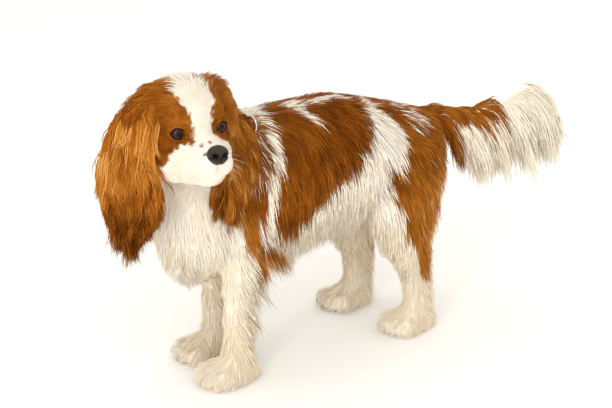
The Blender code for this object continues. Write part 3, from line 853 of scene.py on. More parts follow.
class SPANIEL_OT_skin(bpy.types.Operator):
    """Models one skin for head, ears, body, legs and tail"""
    bl_idname = "spaniel.skin"
    bl_label = "Skin"

    def execute(self, context):
        clay = model_body()
        fused = fused_skin(clay, context.scene.spaniel_sizes.skin_voxel / MM)
        bm = bmesh.new()
        bm.from_mesh(fused)
        refine(bm, head_to_dog((4, 0, -14)), 52)
        for side in (-1, 1):
            centre = head_to_dog(EYE_CENTRE * (1, side, 1) + (6, 0, 0))
            refine(bm, centre, 18)
            refine(bm, centre, 16)
        bmesh.ops.triangulate(bm, faces=bm.faces)
        points = np.array([vert.co for vert in bm.verts])
        faces = np.array([[vert.index for vert in face.verts] for face in bm.faces])
        bm.free()
        spots, spot_regions = zip(*clay.spots)
        regions = np.array(spot_regions)[closest(spots, points)]
        # A spot of the jaw can be numbered among the tail's, so points ahead of the tail go back.
        regions[on(regions, "tail") & (points[:, 1] < 100)] = REGIONS.index("head")
        on_head = on(regions, "head")
        points[on_head] = head_to_dog(shape_face(dog_to_head(points)[on_head]))
        points[:, 2] = np.maximum(points[:, 2], SKIN_OVER_FLOOR)
        bare, pink = self.bare_skin(dog_to_head(points), on_head)
        colours = context.scene.spaniel_colours
        attributes = {"region": regions, "chestnut": markings(points, regions),
                      "stain_and_shade": stain_and_shade_at(points), "tone": tone_at(points, regions), "bare": bare,
                      "pink": pink}
        skin = triangle_object("skin", points, faces, skin_material(colours), attributes)
        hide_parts(*FLESH)
        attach(skin, "root")
        return {"FINISHED"}

    @staticmethod
    def bare_skin(head, on_head):
        """Shares of black rim and of pink skin: lids and lips, and under the nose."""
        rims = np.zeros(len(head))
        for side in (-1, 1):
            measure = lid_measure(head, side)
            rims = np.maximum(rims, 1 - step_between(1.12, 1.3, measure))
        lip = distance_to_path(folded(head), MOUTH)
        rims = np.maximum(rims, 0.7 * thin_line(lip, 1.1))
        below_nose = thin_line(np.linalg.norm(head - (50, 0, -32), axis=1), 6)
        return rims * on_head, 0.7 * below_nose * on_head


# Guides for the combing: place, direction, length, how far the hair lifts off the skin, and how
# freely it hangs. Legs are given from the leg's own middle, the head in its own directions; those
# off the middle of body or head have a like on the other side.
GUIDES = {
    "body": (
        ((0, -80, 312), (0, 1, -.08), 26, 3, 0), ((0, 0, 311), (0, 1, -.1), 28, 3, 0),
        ((0, 80, 303), (.05, 1, -.15), 28, 3, 0), ((0, 150, 280), (.05, .95, -.3), 30, 3, 0),
        ((40, -100, 290), (.15, .3, -.95), 34, 4, 0), ((52, -20, 285), (.15, .2, -.97), 38, 4, 0),
        ((50, 60, 280), (.15, .35, -.93), 38, 4, 0), ((45, 130, 265), (.15, .6, -.8), 34, 4, 0),
        ((56, -95, 240), (0, .05, -1), 38, 5, 0), ((66, -30, 230), (0, .05, -1), 44, 6, .15),
        ((64, 50, 230), (0, .15, -1), 44, 6, .15), ((62, 120, 220), (0, .4, -.9), 40, 6, .1),
        ((60, -30, 190), (-.05, .05, -1), 50, 8, .6), ((58, 50, 195), (-.05, .05, -1), 50, 8, .6),
        ((60, -70, 195), (0, .1, -1), 46, 8, .5),
        ((54, -84, 168), (.12, .55, -.85), 66, 10, .8), ((0, 0, 150), (0, .5, -.8), 28, 4, .6),
        ((35, 10, 158), (-.1, .2, -1), 38, 6, .8), ((0, 90, 158), (0, .5, -.8), 28, 4, .6),
        ((0, -90, 128), (0, .5, -.8), 24, 4, .5), ((0, -185, 235), (0, 0, -1), 36, 5, .1),
        ((0, -200, 200), (0, .05, -1), 40, 6, .3), ((0, -185, 160), (0, .25, -1), 36, 6, .7),
        ((34, -165, 200), (.1, .25, -1), 36, 6, .2), ((17, -200, 262), (0, -.1, -1), 30, 4, .1),
        ((58, -130, 268), (.1, .15, -1), 38, 5, 0), ((20, -110, 322), (.2, .7, -.5), 28, 4, 0),
        ((24, -60, 306), (.3, .5, -.8), 32, 4, 0), ((24, 20, 306), (.3, .6, -.75), 32, 4, 0),
        ((34, -160, 350), (-.3, .9, -.3), 24, 4, 0), ((0, 206, 262), (0, 1, -.1), 30, 4, 0),
        ((30, 196, 235), (.1, .7, -.7), 36, 6, .2), ((0, 205, 215), (0, .5, -.85), 34, 5, .4),
        ((0, 230, 262), (.0, 1, -.05), 30, 3, .1)),
    "front_leg": (
        ((14, -8, 180), (.05, .2, -1), 28, 4, 0), ((0, -38, 150), (0, .05, -1), 18, 3.5, 0),
        ((0, -34, 110), (0, .05, -1), 17, 3.5, 0), ((13, -19, 110), (.2, .5, -.9), 32, 7, .35),
        ((-13, -19, 110), (-.1, .3, -.95), 20, 4, .2), ((0, 4, 150), (.05, 1, -.5), 68, 9, .75),
        ((14, 10, 172), (.14, .7, -.8), 64, 10, .75), ((0, -5, 120), (0, 1, -.4), 64, 8, .75),
        ((0, -7, 90), (0, 1, -.4), 60, 8, .75), ((0, -8, 60), (0, 1, -.6), 50, 7, .7),
        ((0, -6, 35), (0, .8, -.8), 36, 7, .6), ((0, -33, 75), (0, 0, -1), 17, 4, 0),
        ((0, -34, 45), (0, -.2, -1), 18, 5, .1), ((12, -20, 60), (.3, .5, -.85), 28, 7, .35),
        ((-12, -20, 60), (-.25, .4, -.9), 24, 6, .3), ((0, -44, 28), (0, -.6, -.8), 19, 6, .15),
        ((18, -25, 14), (.5, -.3, -.75), 20, 8, .3), ((-18, -25, 14), (-.5, -.3, -.75), 20, 8, .3),
        ((0, -58, 22), (0, -.85, -.5), 18, 6, .15), ((0, -76, 10), (0, -.8, -.7), 14, 5, .2),
        ((0, 0, 14), (0, .5, -.9), 20, 5, .4)),
    "hind_leg": (
        ((12, -5, 215), (.05, .4, -.9), 38, 5, .1), ((8, -50, 200), (.05, .45, -.87), 34, 5, .1),
        ((16, -2, 165), (.05, .3, -.95), 40, 6, .15), ((0, 50, 200), (.05, .75, -.7), 50, 8, .5),
        ((0, 48, 160), (.05, .6, -.9), 54, 8, .7), ((0, -42, 150), (0, .1, -1), 34, 5, .4),
        ((-22, -5, 170), (-.05, .25, -1), 22, 3, .1), ((10, 10, 105), (.05, .3, -1), 28, 4, .2),
        ((0, -20, 105), (0, -.1, -1), 26, 4, .5), ((0, 32, 98), (0, .6, -.9), 42, 7, .7),
        ((0, -2, 50), (0, 0, -1), 15, 4, 0), ((15, 14, 55), (.25, .4, -.9), 24, 6, .3),
        ((-12, 14, 55), (-.2, .35, -.9), 22, 5, .3), ((0, 32, 52), (0, .7, -.8), 34, 8, .6),
        ((2, -16, 28), (0, -.6, -.8), 17, 5, .1), ((20, 0, 14), (.5, -.3, -.75), 18, 7, .3),
        ((-14, 0, 14), (-.5, -.3, -.75), 18, 7, .3), ((5, -30, 22), (0, -.85, -.5), 16, 5, .15),
        ((5, -52, 10), (0, -.8, -.7), 12, 4, .2), ((2, 30, 14), (0, .4, -.9), 18, 4, .3)),
    "head": (
        ((30, 0, -5), (-1, 0, .05), 4, 1, 0), ((16, 6, -2), (-.8, .3, .5), 4, 1, 0),
        ((8, 0, 8), (-.5, 0, .85), 6, 1.4, 0), ((-5, 6, 28), (-.6, .1, .8), 9, 2, 0),
        ((-35, 0, 48), (-1, 0, .1), 18, 2.5, 0), ((-26, 18, 44), (-.6, .75, .15), 26, 6, 0),
        ((-42, 34, 34), (-.35, .8, -.4), 36, 7, .1), ((-50, 42, 14), (-.4, .6, -.7), 34, 6, .1),
        ((-26, 38, 20), (-.7, .6, -.3), 18, 3, 0), ((-60, 0, 45), (-1, 0, -.2), 22, 3, 0),
        ((2, 18, 16), (-.4, .5, .75), 6, 1.3, 0), ((-10, 34, 12), (-.8, .4, .2), 9, 1.6, 0),
        ((6, 16, -8), (-.4, .6, -.4), 4, 1, 0),
        ((2, 28, -13), (-.6, .4, -.5), 6, 1.3, 0), ((-14, 38, -20), (-.7, .1, -.7), 12, 2, 0),
        ((-22, 36, -42), (-.6, .1, -.7), 10, 2, 0), ((32, 18, -22), (-.9, .3, -.25), 5, 1.2, 0),
        ((14, 25, -26), (-.9, .25, -.35), 7, 1.5, 0), ((35, 17, -36), (-.6, .3, -.75), 6, 1.4, .1),
        ((16, 22, -40), (-.7, .2, -.7), 8, 1.8, .1), ((47, 12, -24), (-.5, .85, -.2), 3.5, 1, 0),
        ((48, 4, -33), (.1, .6, -.8), 3.5, 1, 0), ((40, 0, -48), (-.5, 0, -.8), 6, 1.4, .1),
        ((20, 0, -55), (-.95, 0, -.3), 9, 2, .1), ((-5, 0, -58), (-.9, 0, -.4), 9, 2, .05),
        ((-30, 0, -60), (-.75, 0, -.7), 13, 3, .05), ((-90, 0, 12), (-.8, 0, -.6), 20, 3.5, 0),
        ((-70, 30, 10), (-.7, .4, -.6), 20, 3.5, 0), ((-60, 36, -30), (-.6, .1, -.8), 14, 3, 0)),
}


# The extra tuft that stands up on one side of the crown: place, direction, length, lift, hang.
CROWN_TUFT = ((-24, 20, 44), (-.2, .5, .9), 28, 13, 0)


def body_guides():
    """Every guide of body, legs and head: place, direction, length, lift and hang."""
    rows = []

    def mirrored(guide, axis):
        """The guide, and its like on the other side if it lies off the middle."""
        place, direction, *rest = guide
        for turn in ((1, -1) if place[axis] else (1,)):
            flip = np.where(np.arange(3) == axis, turn, 1)
            yield np.multiply(place, flip), np.multiply(direction, flip), rest

    for guide in GUIDES["body"]:
        for place, direction, rest in mirrored(guide, 0):
            rows.append((*place, *direction, *rest))
    for key, centre_x, centre_y in (("front", 38, -102), ("hind", 50, 136)):
        for turn, back in LEGS[key]:
            for place, direction, *rest in GUIDES[f"{key}_leg"]:
                spot = ((centre_x + place[0]) * turn, centre_y + back + place[1], place[2])
                rows.append((*spot, *np.multiply(direction, (turn, 1, 1)), *rest))
    head = [one for guide in GUIDES["head"] for one in mirrored(guide, 1)]
    place, direction, *rest = CROWN_TUFT
    head.append((place, direction, rest))
    for place, direction, rest in head:
        rows.append((*head_to_dog(place), *(np.array(direction) @ HEAD_AXES), *rest))
    return np.array(rows, float)


# The tail inside its plume: how far back, height, half thickness, and length of the hair.
TAIL_CORE = ((196, 252, 15, 40), (226, 253, 11, 84), (256, 245, 9, 122), (292, 241, 9, 130),
             (334, 250, 8, 138), (374, 261, 7, 140), (405, 250, 6, 112), (424, 232, 5, 84))


def tail_guides():
    """The plume: hair that runs back along the tail and arches down on both sides of it."""
    rows = []
    for y, z, half, length in TAIL_CORE:
        end = float(step_between(380, 424, y))
        late = float(step_between(310, 350, y))
        above = min(length, 46 + 44 * float(step_between(290, 330, y))) * (1 - 0.6 * end)
        for angle in np.arange(8) * math.pi / 4:
            out, up = math.sin(angle), math.cos(angle)
            top = max(up, 0.0) ** 0.7
            arching = np.array((0.25 * out, 0.6 - 0.45 * end, -0.4))
            level = np.array((0.1 * out, 1, 0.05 + 0.25 * late))
            rows.append((half * out, y, z + half * up, *((1 - top) * arching + top * level),
                         length * (1 - top) + above * top, 5 + 4 * late * top, 1 - 0.35 * top))
    return np.array(rows, float)


def ear_guides(side):
    """Hair of an ear: over its top from the crown, then down it and past its end."""
    across, facing = ear_axes(side)
    rows = []
    for up, forward, out, wide in EAR_STATIONS[side]:
        fall = 1 - float(step_between(5, 34, up))
        low = 1 - float(step_between(-85, -45, up))
        grown = float(step_between(30, -60, up))
        hang = 0.15 + 0.6 * float(1 - step_between(-95, -40, up))
        for edge, face in itertools.product((-1, 0, 1), (-1, 1)):
            if side > 0:
                lean, length = 0.06, 34 + 10 * grown
                outward = 0.25 * (1 - fall) * max(face, 0) + low * (0.15 if face > 0 else -0.4)
            else:
                # The right ear's hair sweeps back, and past its end it tapers to the front edge.
                lean, length = 0.3 - 0.34 * low, 40 + 18 * grown
                length += 10 * low * (edge if edge > 0 else 2.6 * edge)
                outward = 0.6 * (1 - fall) * max(face, 0)
            place = head_to_dog((forward, side * out, up)) + across * edge * wide
            place = place + facing * face * EAR_HALF_THICKNESS
            direction = across * edge * lean * fall + np.array((0, 0, -1)) * (0.35 + fall)
            direction = direction + side * LEFT * outward + facing * 0.1 * face * fall
            rows.append((*place, *direction, length, 3.5 + 3.5 * fall, hang))
    return np.array(rows, float)


def heights_over(vectors, normals):
    """How far vectors reach along the given normals."""
    return (vectors * normals).sum(1)


def flattened(vectors, normals):
    """What is left of vectors along the surfaces that have the given normals."""
    return vectors - (vectors * normals).sum(1, keepdims=True) * normals


def combed(points, guides, spread):
    """Direction, length, lift and hang of the coat at points, from the nearest guides."""
    out = np.empty((len(points), 6))
    batch = 20000
    for start in range(0, len(points), batch):
        some = points[start:start + batch]
        gap = ((some[:, None, :] - guides[None, :, :3]) ** 2).sum(2)
        weight = 1 / (gap + spread ** 2) ** 2
        weight /= weight.sum(1, keepdims=True)
        out[start:start + batch] = weight @ guides[:, 3:]
    return out


def read_out(items, name, width, kind=np.float32):
    """One row of values for each vertex, face or attribute value of a mesh."""
    values = np.empty(len(items) * width, kind)
    items.foreach_get(name, values)
    return values.reshape(-1, width)


def closest(places, points):
    """The number of the place that lies closest to each point."""
    tree = KDTree(len(places))
    for index, place in enumerate(places):
        tree.insert(place, index)
    tree.balance()
    return [tree.find(point)[1] for point in points.tolist()]


class Surface:
    """The skin's triangles with their normals, regions and combing, in dog millimetres."""

    def __init__(self, skin):
        mesh = skin.data
        self.points = from_frame(read_out(mesh.vertices, "co", 3))
        self.triangles = read_out(mesh.polygons, "vertices", 3, np.int32)
        region = read_out(mesh.attributes["region"].data, "value", 1)[:, 0]
        normals = read_out(mesh.vertices, "normal", 3)
        corner_points = self.points[self.triangles]
        crossed = np.cross(corner_points[:, 1] - corner_points[:, 0],
                           corner_points[:, 2] - corner_points[:, 0])
        self.area = np.linalg.norm(crossed, axis=1) / 2
        self.normal = unit(normals[self.triangles].sum(1))
        self.region = region[self.triangles[:, 0]].round().astype(int)
        self.centre = corner_points.mean(1)
        self.group = np.where(on(self.region, "ear_left", "ear_right"), self.region, 0)
        self.inner = np.zeros(len(self.region), bool)
        self.outward = self.shading_normals()
        self.tree = BVHTree.FromPolygons(self.points.tolist(), self.triangles.tolist())
        flow = combed(self.centre, body_guides(), 9.0)
        for name, guides, spread in (("ear_left", ear_guides(1), 8.0),
                                     ("ear_right", ear_guides(-1), 8.0),
                                     ("tail", tail_guides(), 4.0)):
            chosen = on(self.region, name)
            flow[chosen] = combed(self.centre[chosen], guides, spread)
        self.aim = unit(flow[:, :3])
        self.direction = unit(flattened(self.aim, self.normal))
        self.length, self.lift, self.hang = flow[:, 3], flow[:, 4], flow[:, 5]

    def shading_normals(self):
        """Normals for the light on hair: never down, and out to the sides where hair hangs."""
        made = self.normal.copy()
        made[:, 2] = np.maximum(made[:, 2], -0.1)
        made[:, 0] += 0.25 * np.sign(self.centre[:, 0])
        for name, side in (("ear_left", 1), ("ear_right", -1)):
            _, facing = ear_axes(side)
            chosen = on(self.region, name)
            front = self.normal[chosen] @ facing
            self.inner[chosen] = front < 0.3
            made[chosen] = made[chosen] * 0.5 + facing * np.where(front < 0, -1, 1)[:, None]
        return unit(made)

    def nearest(self, points):
        """The skin's closest point and triangle to each of points."""
        found = [self.tree.find_nearest(point) for point in points.tolist()]
        places = np.array([hit[0] for hit in found])
        return places, np.array([hit[2] for hit in found])

    def scatter(self, rng, weights, count):
        """Random roots with triangles chosen by weight."""
        odds = np.cumsum(weights)
        chosen = np.searchsorted(odds, rng.uniform(0, odds[-1], count))
        first, second = rng.uniform(size=(2, count))
        flip = first + second > 1
        first, second = np.where(flip, 1 - first, first), np.where(flip, 1 - second, second)
        corner = self.points[self.triangles[chosen]]
        place = (corner[:, 0] + first[:, None] * (corner[:, 1] - corner[:, 0])
                 + second[:, None] * (corner[:, 2] - corner[:, 0]))
        return place, chosen


def grow(surface, roots, triangles, lengths, lifts, hangs, steps, turn, sag):
    """Walks each tuft from its root along the combing, over the skin or hanging free of it."""
    count = len(roots)
    stride = (lengths / steps)[:, None]
    path = np.empty((count, steps + 1, 3))
    path[:, 0] = roots - surface.normal[triangles] * ROOT_DEPTH
    home = surface.group[triangles]
    heading = unit(surface.direction[triangles] * (1 - hangs[:, None])
                   + surface.aim[triangles] * hangs[:, None])
    here = roots.copy()
    near, face = roots, triangles
    for step in range(1, steps + 1):
        part = step / steps
        normal = surface.normal[face]
        onward = unit(flattened(heading, normal))
        lie = np.where((surface.group[face] == home)[:, None], surface.direction[face], onward)
        lie = lie + np.cross(normal, lie) * turn[:, None]
        height = heights_over(here - near, normal)
        wanted = lifts * math.sin(min(1, part * 1.35) * math.pi / 2)
        rise = np.clip((wanted - height) / stride[:, 0], STEEPEST_FALL, STEEPEST_RISE)
        held = unit(lie + normal * rise[:, None])
        free = heading * (1 - sag) + np.array((0, 0, -sag))
        loose = np.clip(hangs * 1.4 * (0.4 + 0.8 * part), 0, 1)[:, None]
        heading = unit(held * (1 - loose) + unit(free) * loose)
        here = here + heading * stride
        near, face = surface.nearest(here)
        normal = surface.normal[face]
        height = heights_over(here - near, normal)
        least = 0.8 * np.minimum(wanted, 1.6 + 6 * hangs * part)
        push = np.clip(least - height, 0, LARGEST_PUSH)
        push = np.where(np.linalg.norm(here - near, axis=1) < SKIN_REACH, push, 0)
        here = here + normal * push[:, None]
        path[:, step] = here
    path[:, :, 2] = np.maximum(path[:, :, 2], HAIR_OVER_FLOOR)
    return path


def clumped(path, roots, rng, share, strength, wave, wave_length, lengths, normals):
    """Draws tufts toward lead tufts, so that they end in locks, and waves them together."""
    count, points = path.shape[:2]
    leads = rng.choice(count, max(1, int(count * share)), replace=False)
    lead_of = leads[closest(roots[leads], roots)]
    part = np.linspace(0, 1, points)
    pull = (strength[:, None] * part ** LOCK_CLOSING)[:, :, None]
    gap = (path[:, :1] - path[lead_of][:, :1]) * LOCK_SPREAD
    path = path * (1 - pull) + (path[lead_of] + gap) * pull
    phase = rng.uniform(0, 2 * math.pi, count)[lead_of]
    sideways = unit(np.cross(unit(path[:, -1] - path[:, 0]), normals) + 1e-6)
    swing = np.sin(phase[:, None] + part * (lengths / wave_length)[:, None] * 2 * math.pi)
    return path + sideways[:, None, :] * (wave[:, None] * part * swing)[:, :, None], lead_of


def tuft_mesh(path, width, normals):
    """Closed three-sided tapering tufts round each path: points, triangles, how far along its
    tuft each point is, and the normals."""
    count, rows = path.shape[:2]
    rings = rows - 1
    heading = unit(np.gradient(path, axis=1))
    flat = unit(np.cross(heading, normals[:, None, :] + 0.05 * np.array((1.0, 0.4, 0.7))))
    out = np.cross(flat, heading)
    part = np.linspace(0, 1, rows)[:rings]
    size = width[:, None] * (0.55 + 0.45 * np.sin(np.minimum(part * 2.6, 1) * math.pi / 2))
    size = size * (1 - part ** 2.2 * TUFT_TAPER)
    half = (size / 2)[:, :, None]
    body = path[:, :rings]
    back = body - out[:, :rings] * half * TUFT_BACK
    left, right = back + flat[:, :rings] * half, back - flat[:, :rings] * half
    crest = body + out[:, :rings] * half * TUFT_CREST
    ringed = np.stack([left, right, crest], 2).reshape(count, rings * 3, 3)
    points = np.concatenate([ringed, path[:, rings:]], 1)
    facing = np.stack([unit(flat * 0.95 - out * 0.1), unit(-flat * 0.95 - out * 0.1), out], 2)
    ringed = facing[:, :rings].reshape(count, rings * 3, 3)
    facing = np.concatenate([ringed, heading[:, rings:]], 1)
    faces = [(0, 1, 2)]
    for ring in range(rings - 1):
        low, high = ring * 3, ring * 3 + 3
        for side in range(3):
            after = (side + 1) % 3
            faces.append((low + side, high + side, high + after))
            faces.append((low + side, high + after, low + after))
    last, tip = (rings - 1) * 3, rings * 3
    for side in range(3):
        faces.append((last + side, tip, last + (side + 1) % 3))
    faces = np.array(faces)[:, ::-1]
    per_tuft = rings * 3 + 1
    every = faces[None] + (np.arange(count) * per_tuft)[:, None, None]
    steps = np.append(np.repeat(part, 3), 1.0)
    return points.reshape(-1, 3), every.reshape(-1, 3), steps, facing


# The middles of the legs and paws, for the layout of the coat.
LEG_CENTRES = {"leg_front": ((38, -104), (-38, -82)), "leg_hind": ((46, 140), (-46, 128)),
               "paw": ((38, -130), (-38, -110), (55, 142), (-55, 130))}


def unwrap(roots, regions):
    """A flat place between 0 and 1 for each root: round its own body part, and along it."""
    u, v = np.empty(len(roots)), np.empty(len(roots))

    def place(chosen, centre, axis, first, second, ends, column=0, columns=1):
        """Rolls out the chosen roots round an axis, from one of its ends to the other."""
        offset = roots[chosen] - centre
        turn = np.arctan2(offset @ second, offset @ first) / (2 * math.pi) + 0.5
        u[chosen] = (column + 0.01 + 0.98 * turn) / columns
        v[chosen] = np.clip((offset @ axis - ends[0]) / (ends[1] - ends[0]), 0, 1)

    x_axis, y_axis = BODY_AXES[0], BODY_AXES[1]
    neck_run = unit(np.array((40, -120, 120.0)))
    place(on(regions, "trunk"), 230 * UP, y_axis, -UP, x_axis, (-200, 220))
    place(on(regions, "tail"), 245 * UP, y_axis, -UP, x_axis, (190, 430))
    place(on(regions, "head"), head_to_dog((-20, 0, -8)), FORWARD, -UP, LEFT, (-75, 72))
    place(on(regions, "neck"), np.array((14, -150, 262.0)), neck_run,
          unit(np.cross(neck_run, x_axis)), x_axis, (-110, 90))
    for name, side in (("ear_left", 1), ("ear_right", -1)):
        across, facing = ear_axes(side)
        place(on(regions, name), head_to_dog((-40, side * 56, -35)), UP, -facing, across, (-80, 85))
    for name, centres in LEG_CENTRES.items():
        gaps = [np.hypot(roots[:, 0] - x, roots[:, 1] - y) for x, y in centres]
        for column, (x, y) in enumerate(centres):
            own = on(regions, name) & (np.argmin(gaps, axis=0) == column)
            place(own, np.array((x, y, 0)), UP, -y_axis, x_axis, (-2, 250), column, len(centres))
    return u, v


def frayed(path, lengths, rng):
    """Tufts with their ends spread at random, a few of them far, and their bends evened out."""
    count, points = path.shape[:2]
    flyaway = np.where(rng.uniform(size=count) < 0.05, 0.1, 0.03)
    spread = np.clip(rng.normal(size=(count, 3)), -2, 2) * (lengths * flyaway)[:, None]
    path = path + spread[:, None, :] * (np.linspace(0, 1, points) ** 2)[None, :, None]
    if points > 3:
        path[:, 1:-1] = (path[:, :-2] + 2 * path[:, 1:-1] + path[:, 2:]) / 4
    path[:, :, 2] = np.maximum(path[:, :, 2], HAIR_OVER_FLOOR)
    return path


def tuft_colours(places, regions, lead_of, contrast, rng):
    """Each tuft's share of chestnut, its tone, and its share of cream as stain and painted shade,
    with locks and strands that vary.
    """
    count = len(places)
    chestnut = markings(places, regions)
    jitter = rng.normal(0, 0.26, count)
    chestnut = step_between(0.35, 0.65, chestnut + jitter * (chestnut > 0.02) * (chestnut < 0.98))
    own_tone = rng.uniform(-0.65, 0.65, count)[lead_of] + rng.normal(0, 0.3, count)
    tone = np.clip(tone_at(places, regions) + contrast * own_tone, 0, 1)
    stain_and_shade = np.clip(stain_and_shade_at(places) + rng.normal(0, 0.25, count), 0, 1)
    return {"chestnut": chestnut, "tone": tone, "stain_and_shade": stain_and_shade}


def coat_piece(surface, name, chosen, material, sizes, seed, count, steps, width=1.0, density=1.0,
               clump=0.3, wave=0.5, wave_length=40, lead_share=0.07, contrast=0.3, stray=0.1,
               sag=0.2):
    """One piece of the coat: count tufts of so many steps over the chosen triangles."""
    rng = np.random.default_rng(sizes.tuft_seed * 1000 + seed)
    count = max(20, int(count * sizes.coat_fullness))
    roots, triangles = surface.scatter(rng, surface.area * chosen * density, count)
    lengths = surface.length[triangles] * rng.uniform(0.72, 1.12, count) * sizes.coat_length
    lifts = surface.lift[triangles] * rng.uniform(0.25, 1.15, count) ** 1.2
    hangs = surface.hang[triangles] * rng.uniform(0.8, 1.1, count)
    path = grow(surface, roots, triangles, lengths, lifts, hangs, steps,
                rng.normal(0, stray, count), sag)
    strength = clump * rng.uniform(0.35, 1.0, count)
    normals = surface.outward[triangles]
    path, lead_of = clumped(path, roots, rng, lead_share, strength,
                            wave * rng.uniform(0.5, 1.2, count), wave_length, lengths, normals)
    path = frayed(path, lengths, rng)
    widths = width * rng.uniform(0.7, 1.3, count) * np.clip(lengths / 30, 0.45, 1.15)
    points, faces, parts, facing = tuft_mesh(path, widths, normals)
    regions = surface.region[triangles]
    places = np.where(on(regions, "tail")[:, None], roots, path[:, max(1, steps // 3)])
    per_tuft = len(parts)
    attributes = {key: np.repeat(values, per_tuft) for key, values in
                  tuft_colours(places, regions, lead_of, contrast, rng).items()}
    attributes["along"] = np.tile(parts, count)
    made = triangle_object(name, points, faces, material, attributes)
    u, v = unwrap(roots, regions)
    patch_u = np.repeat(u, per_tuft) + PATCH * (np.tile(np.arange(per_tuft) % 3, count) / 2 - 0.5)
    patch_v = np.repeat(v, per_tuft) * 0.99 + PATCH * np.tile(parts, count)
    flat = np.stack([patch_u, patch_v], 1)[faces.ravel()]
    layer = made.data.uv_layers.new(name="OFBake")
    layer.data.foreach_set("uv", np.clip(flat, 0, 1).astype(np.float32).ravel())
    settled = 0.65 * (1 - step_between(0.05, 0.4, hangs)) * ~surface.inner[triangles]
    settled = settled[:, None, None]
    facing = unit(facing * (1 - settled) + normals[:, None, :] * settled).reshape(-1, 3)
    made.data.normals_split_custom_set_from_vertices(facing.tolist())
    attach(made, "root")
    return made


def bristles(name, paths, width, material):
    """Closed tapering bristles along paths, all as thick."""
    normals = np.tile(UP, (len(paths), 1))
    points, faces, parts, _ = tuft_mesh(paths, np.full(len(paths), width), normals)
    return triangle_object(name, points, faces, material, {"along": np.tile(parts, len(paths))})


class SPANIEL_OT_coat(bpy.types.Operator):
    """Grows the coat in pieces of solid tufts combed over the skin"""
    bl_idname = "spaniel.coat"
    bl_label = "Coat"

    def execute(self, context):
        sizes = context.scene.spaniel_sizes
        material = coat_material(context.scene.spaniel_colours)
        surface = Surface(bpy.data.objects["skin"])
        centre, region = surface.centre, surface.region
        head = dog_to_head(centre)
        bare = np.minimum(lid_measure(head, 1), lid_measure(head, -1)) < 1.14
        bare |= distance_to_path(folded(head), MOUTH) < 0.9
        nose = np.linalg.norm((head - (46, 0, -14.5)) / (8.5, 11.5, 9.8), axis=1) < 1
        face = on(region, "head") & ~bare & ~nose
        short = surface.length < 12.5
        fine = face * (1 + 2.2 * step_between(-25, 15, head[:, 0]))
        above_floor = centre[:, 2] > 3
        lower = 1 + 1.5 * (surface.length < 26) * (centre[:, 2] < 90)

        def piece(name, chosen, seed, slot="white_coat", **settings):
            made = coat_piece(surface, name, chosen, material, sizes, seed, **settings)

        for number, side in enumerate(("left", "right")):
            half = (head[:, 1] >= 0) == (side == "left")
            piece(f"coat_face_{side}", face & short & half, 10 + number, count=9500, steps=2,
                  width=0.85, density=fine, clump=0.2, wave=0.1, wave_length=20, contrast=0.2)
            piece(f"coat_ear_{side}", on(region, f"ear_{side}"), 20 + number,
                  slot="chestnut_coat", count=8500, steps=4, clump=0.9, wave=8.0, wave_length=54,
                  lead_share=0.017, stray=0.06, contrast=0.38)
            half = (centre[:, 0] >= 0) == (side == "left")
            piece(f"coat_trunk_{side}", on(region, "trunk") & half, 30 + number, count=14000,
                  steps=2, wave=0.6, lead_share=0.08, contrast=0.22)
        piece("coat_neck", on(region, "neck"), 40, count=8500, steps=3, clump=0.35, wave=0.8,
              lead_share=0.08, contrast=0.22)
        piece("coat_crown", face & ~short, 41, count=6500, steps=3, width=0.9, clump=0.4,
              wave=0.8, lead_share=0.06, contrast=0.25)
        ahead = centre[:, 1] < 0
        front = (on(region, "leg_front") | on(region, "paw") & ahead) & above_floor
        hind = (on(region, "leg_hind") | on(region, "paw") & ~ahead) & above_floor
        piece("coat_legs_front", front, 50, count=8000, steps=3, density=lower, clump=0.4,
              wave_length=30)
        piece("coat_legs_hind", hind, 51, count=8500, steps=3, width=1.1, density=lower,
              clump=0.4, wave_length=30)
        piece("coat_tail", on(region, "tail"), 60, count=5400, steps=5, width=1.4, clump=0.8,
              wave=4.5, wave_length=80, lead_share=0.035, stray=0.06, sag=0.32)
        return {"FINISHED"}


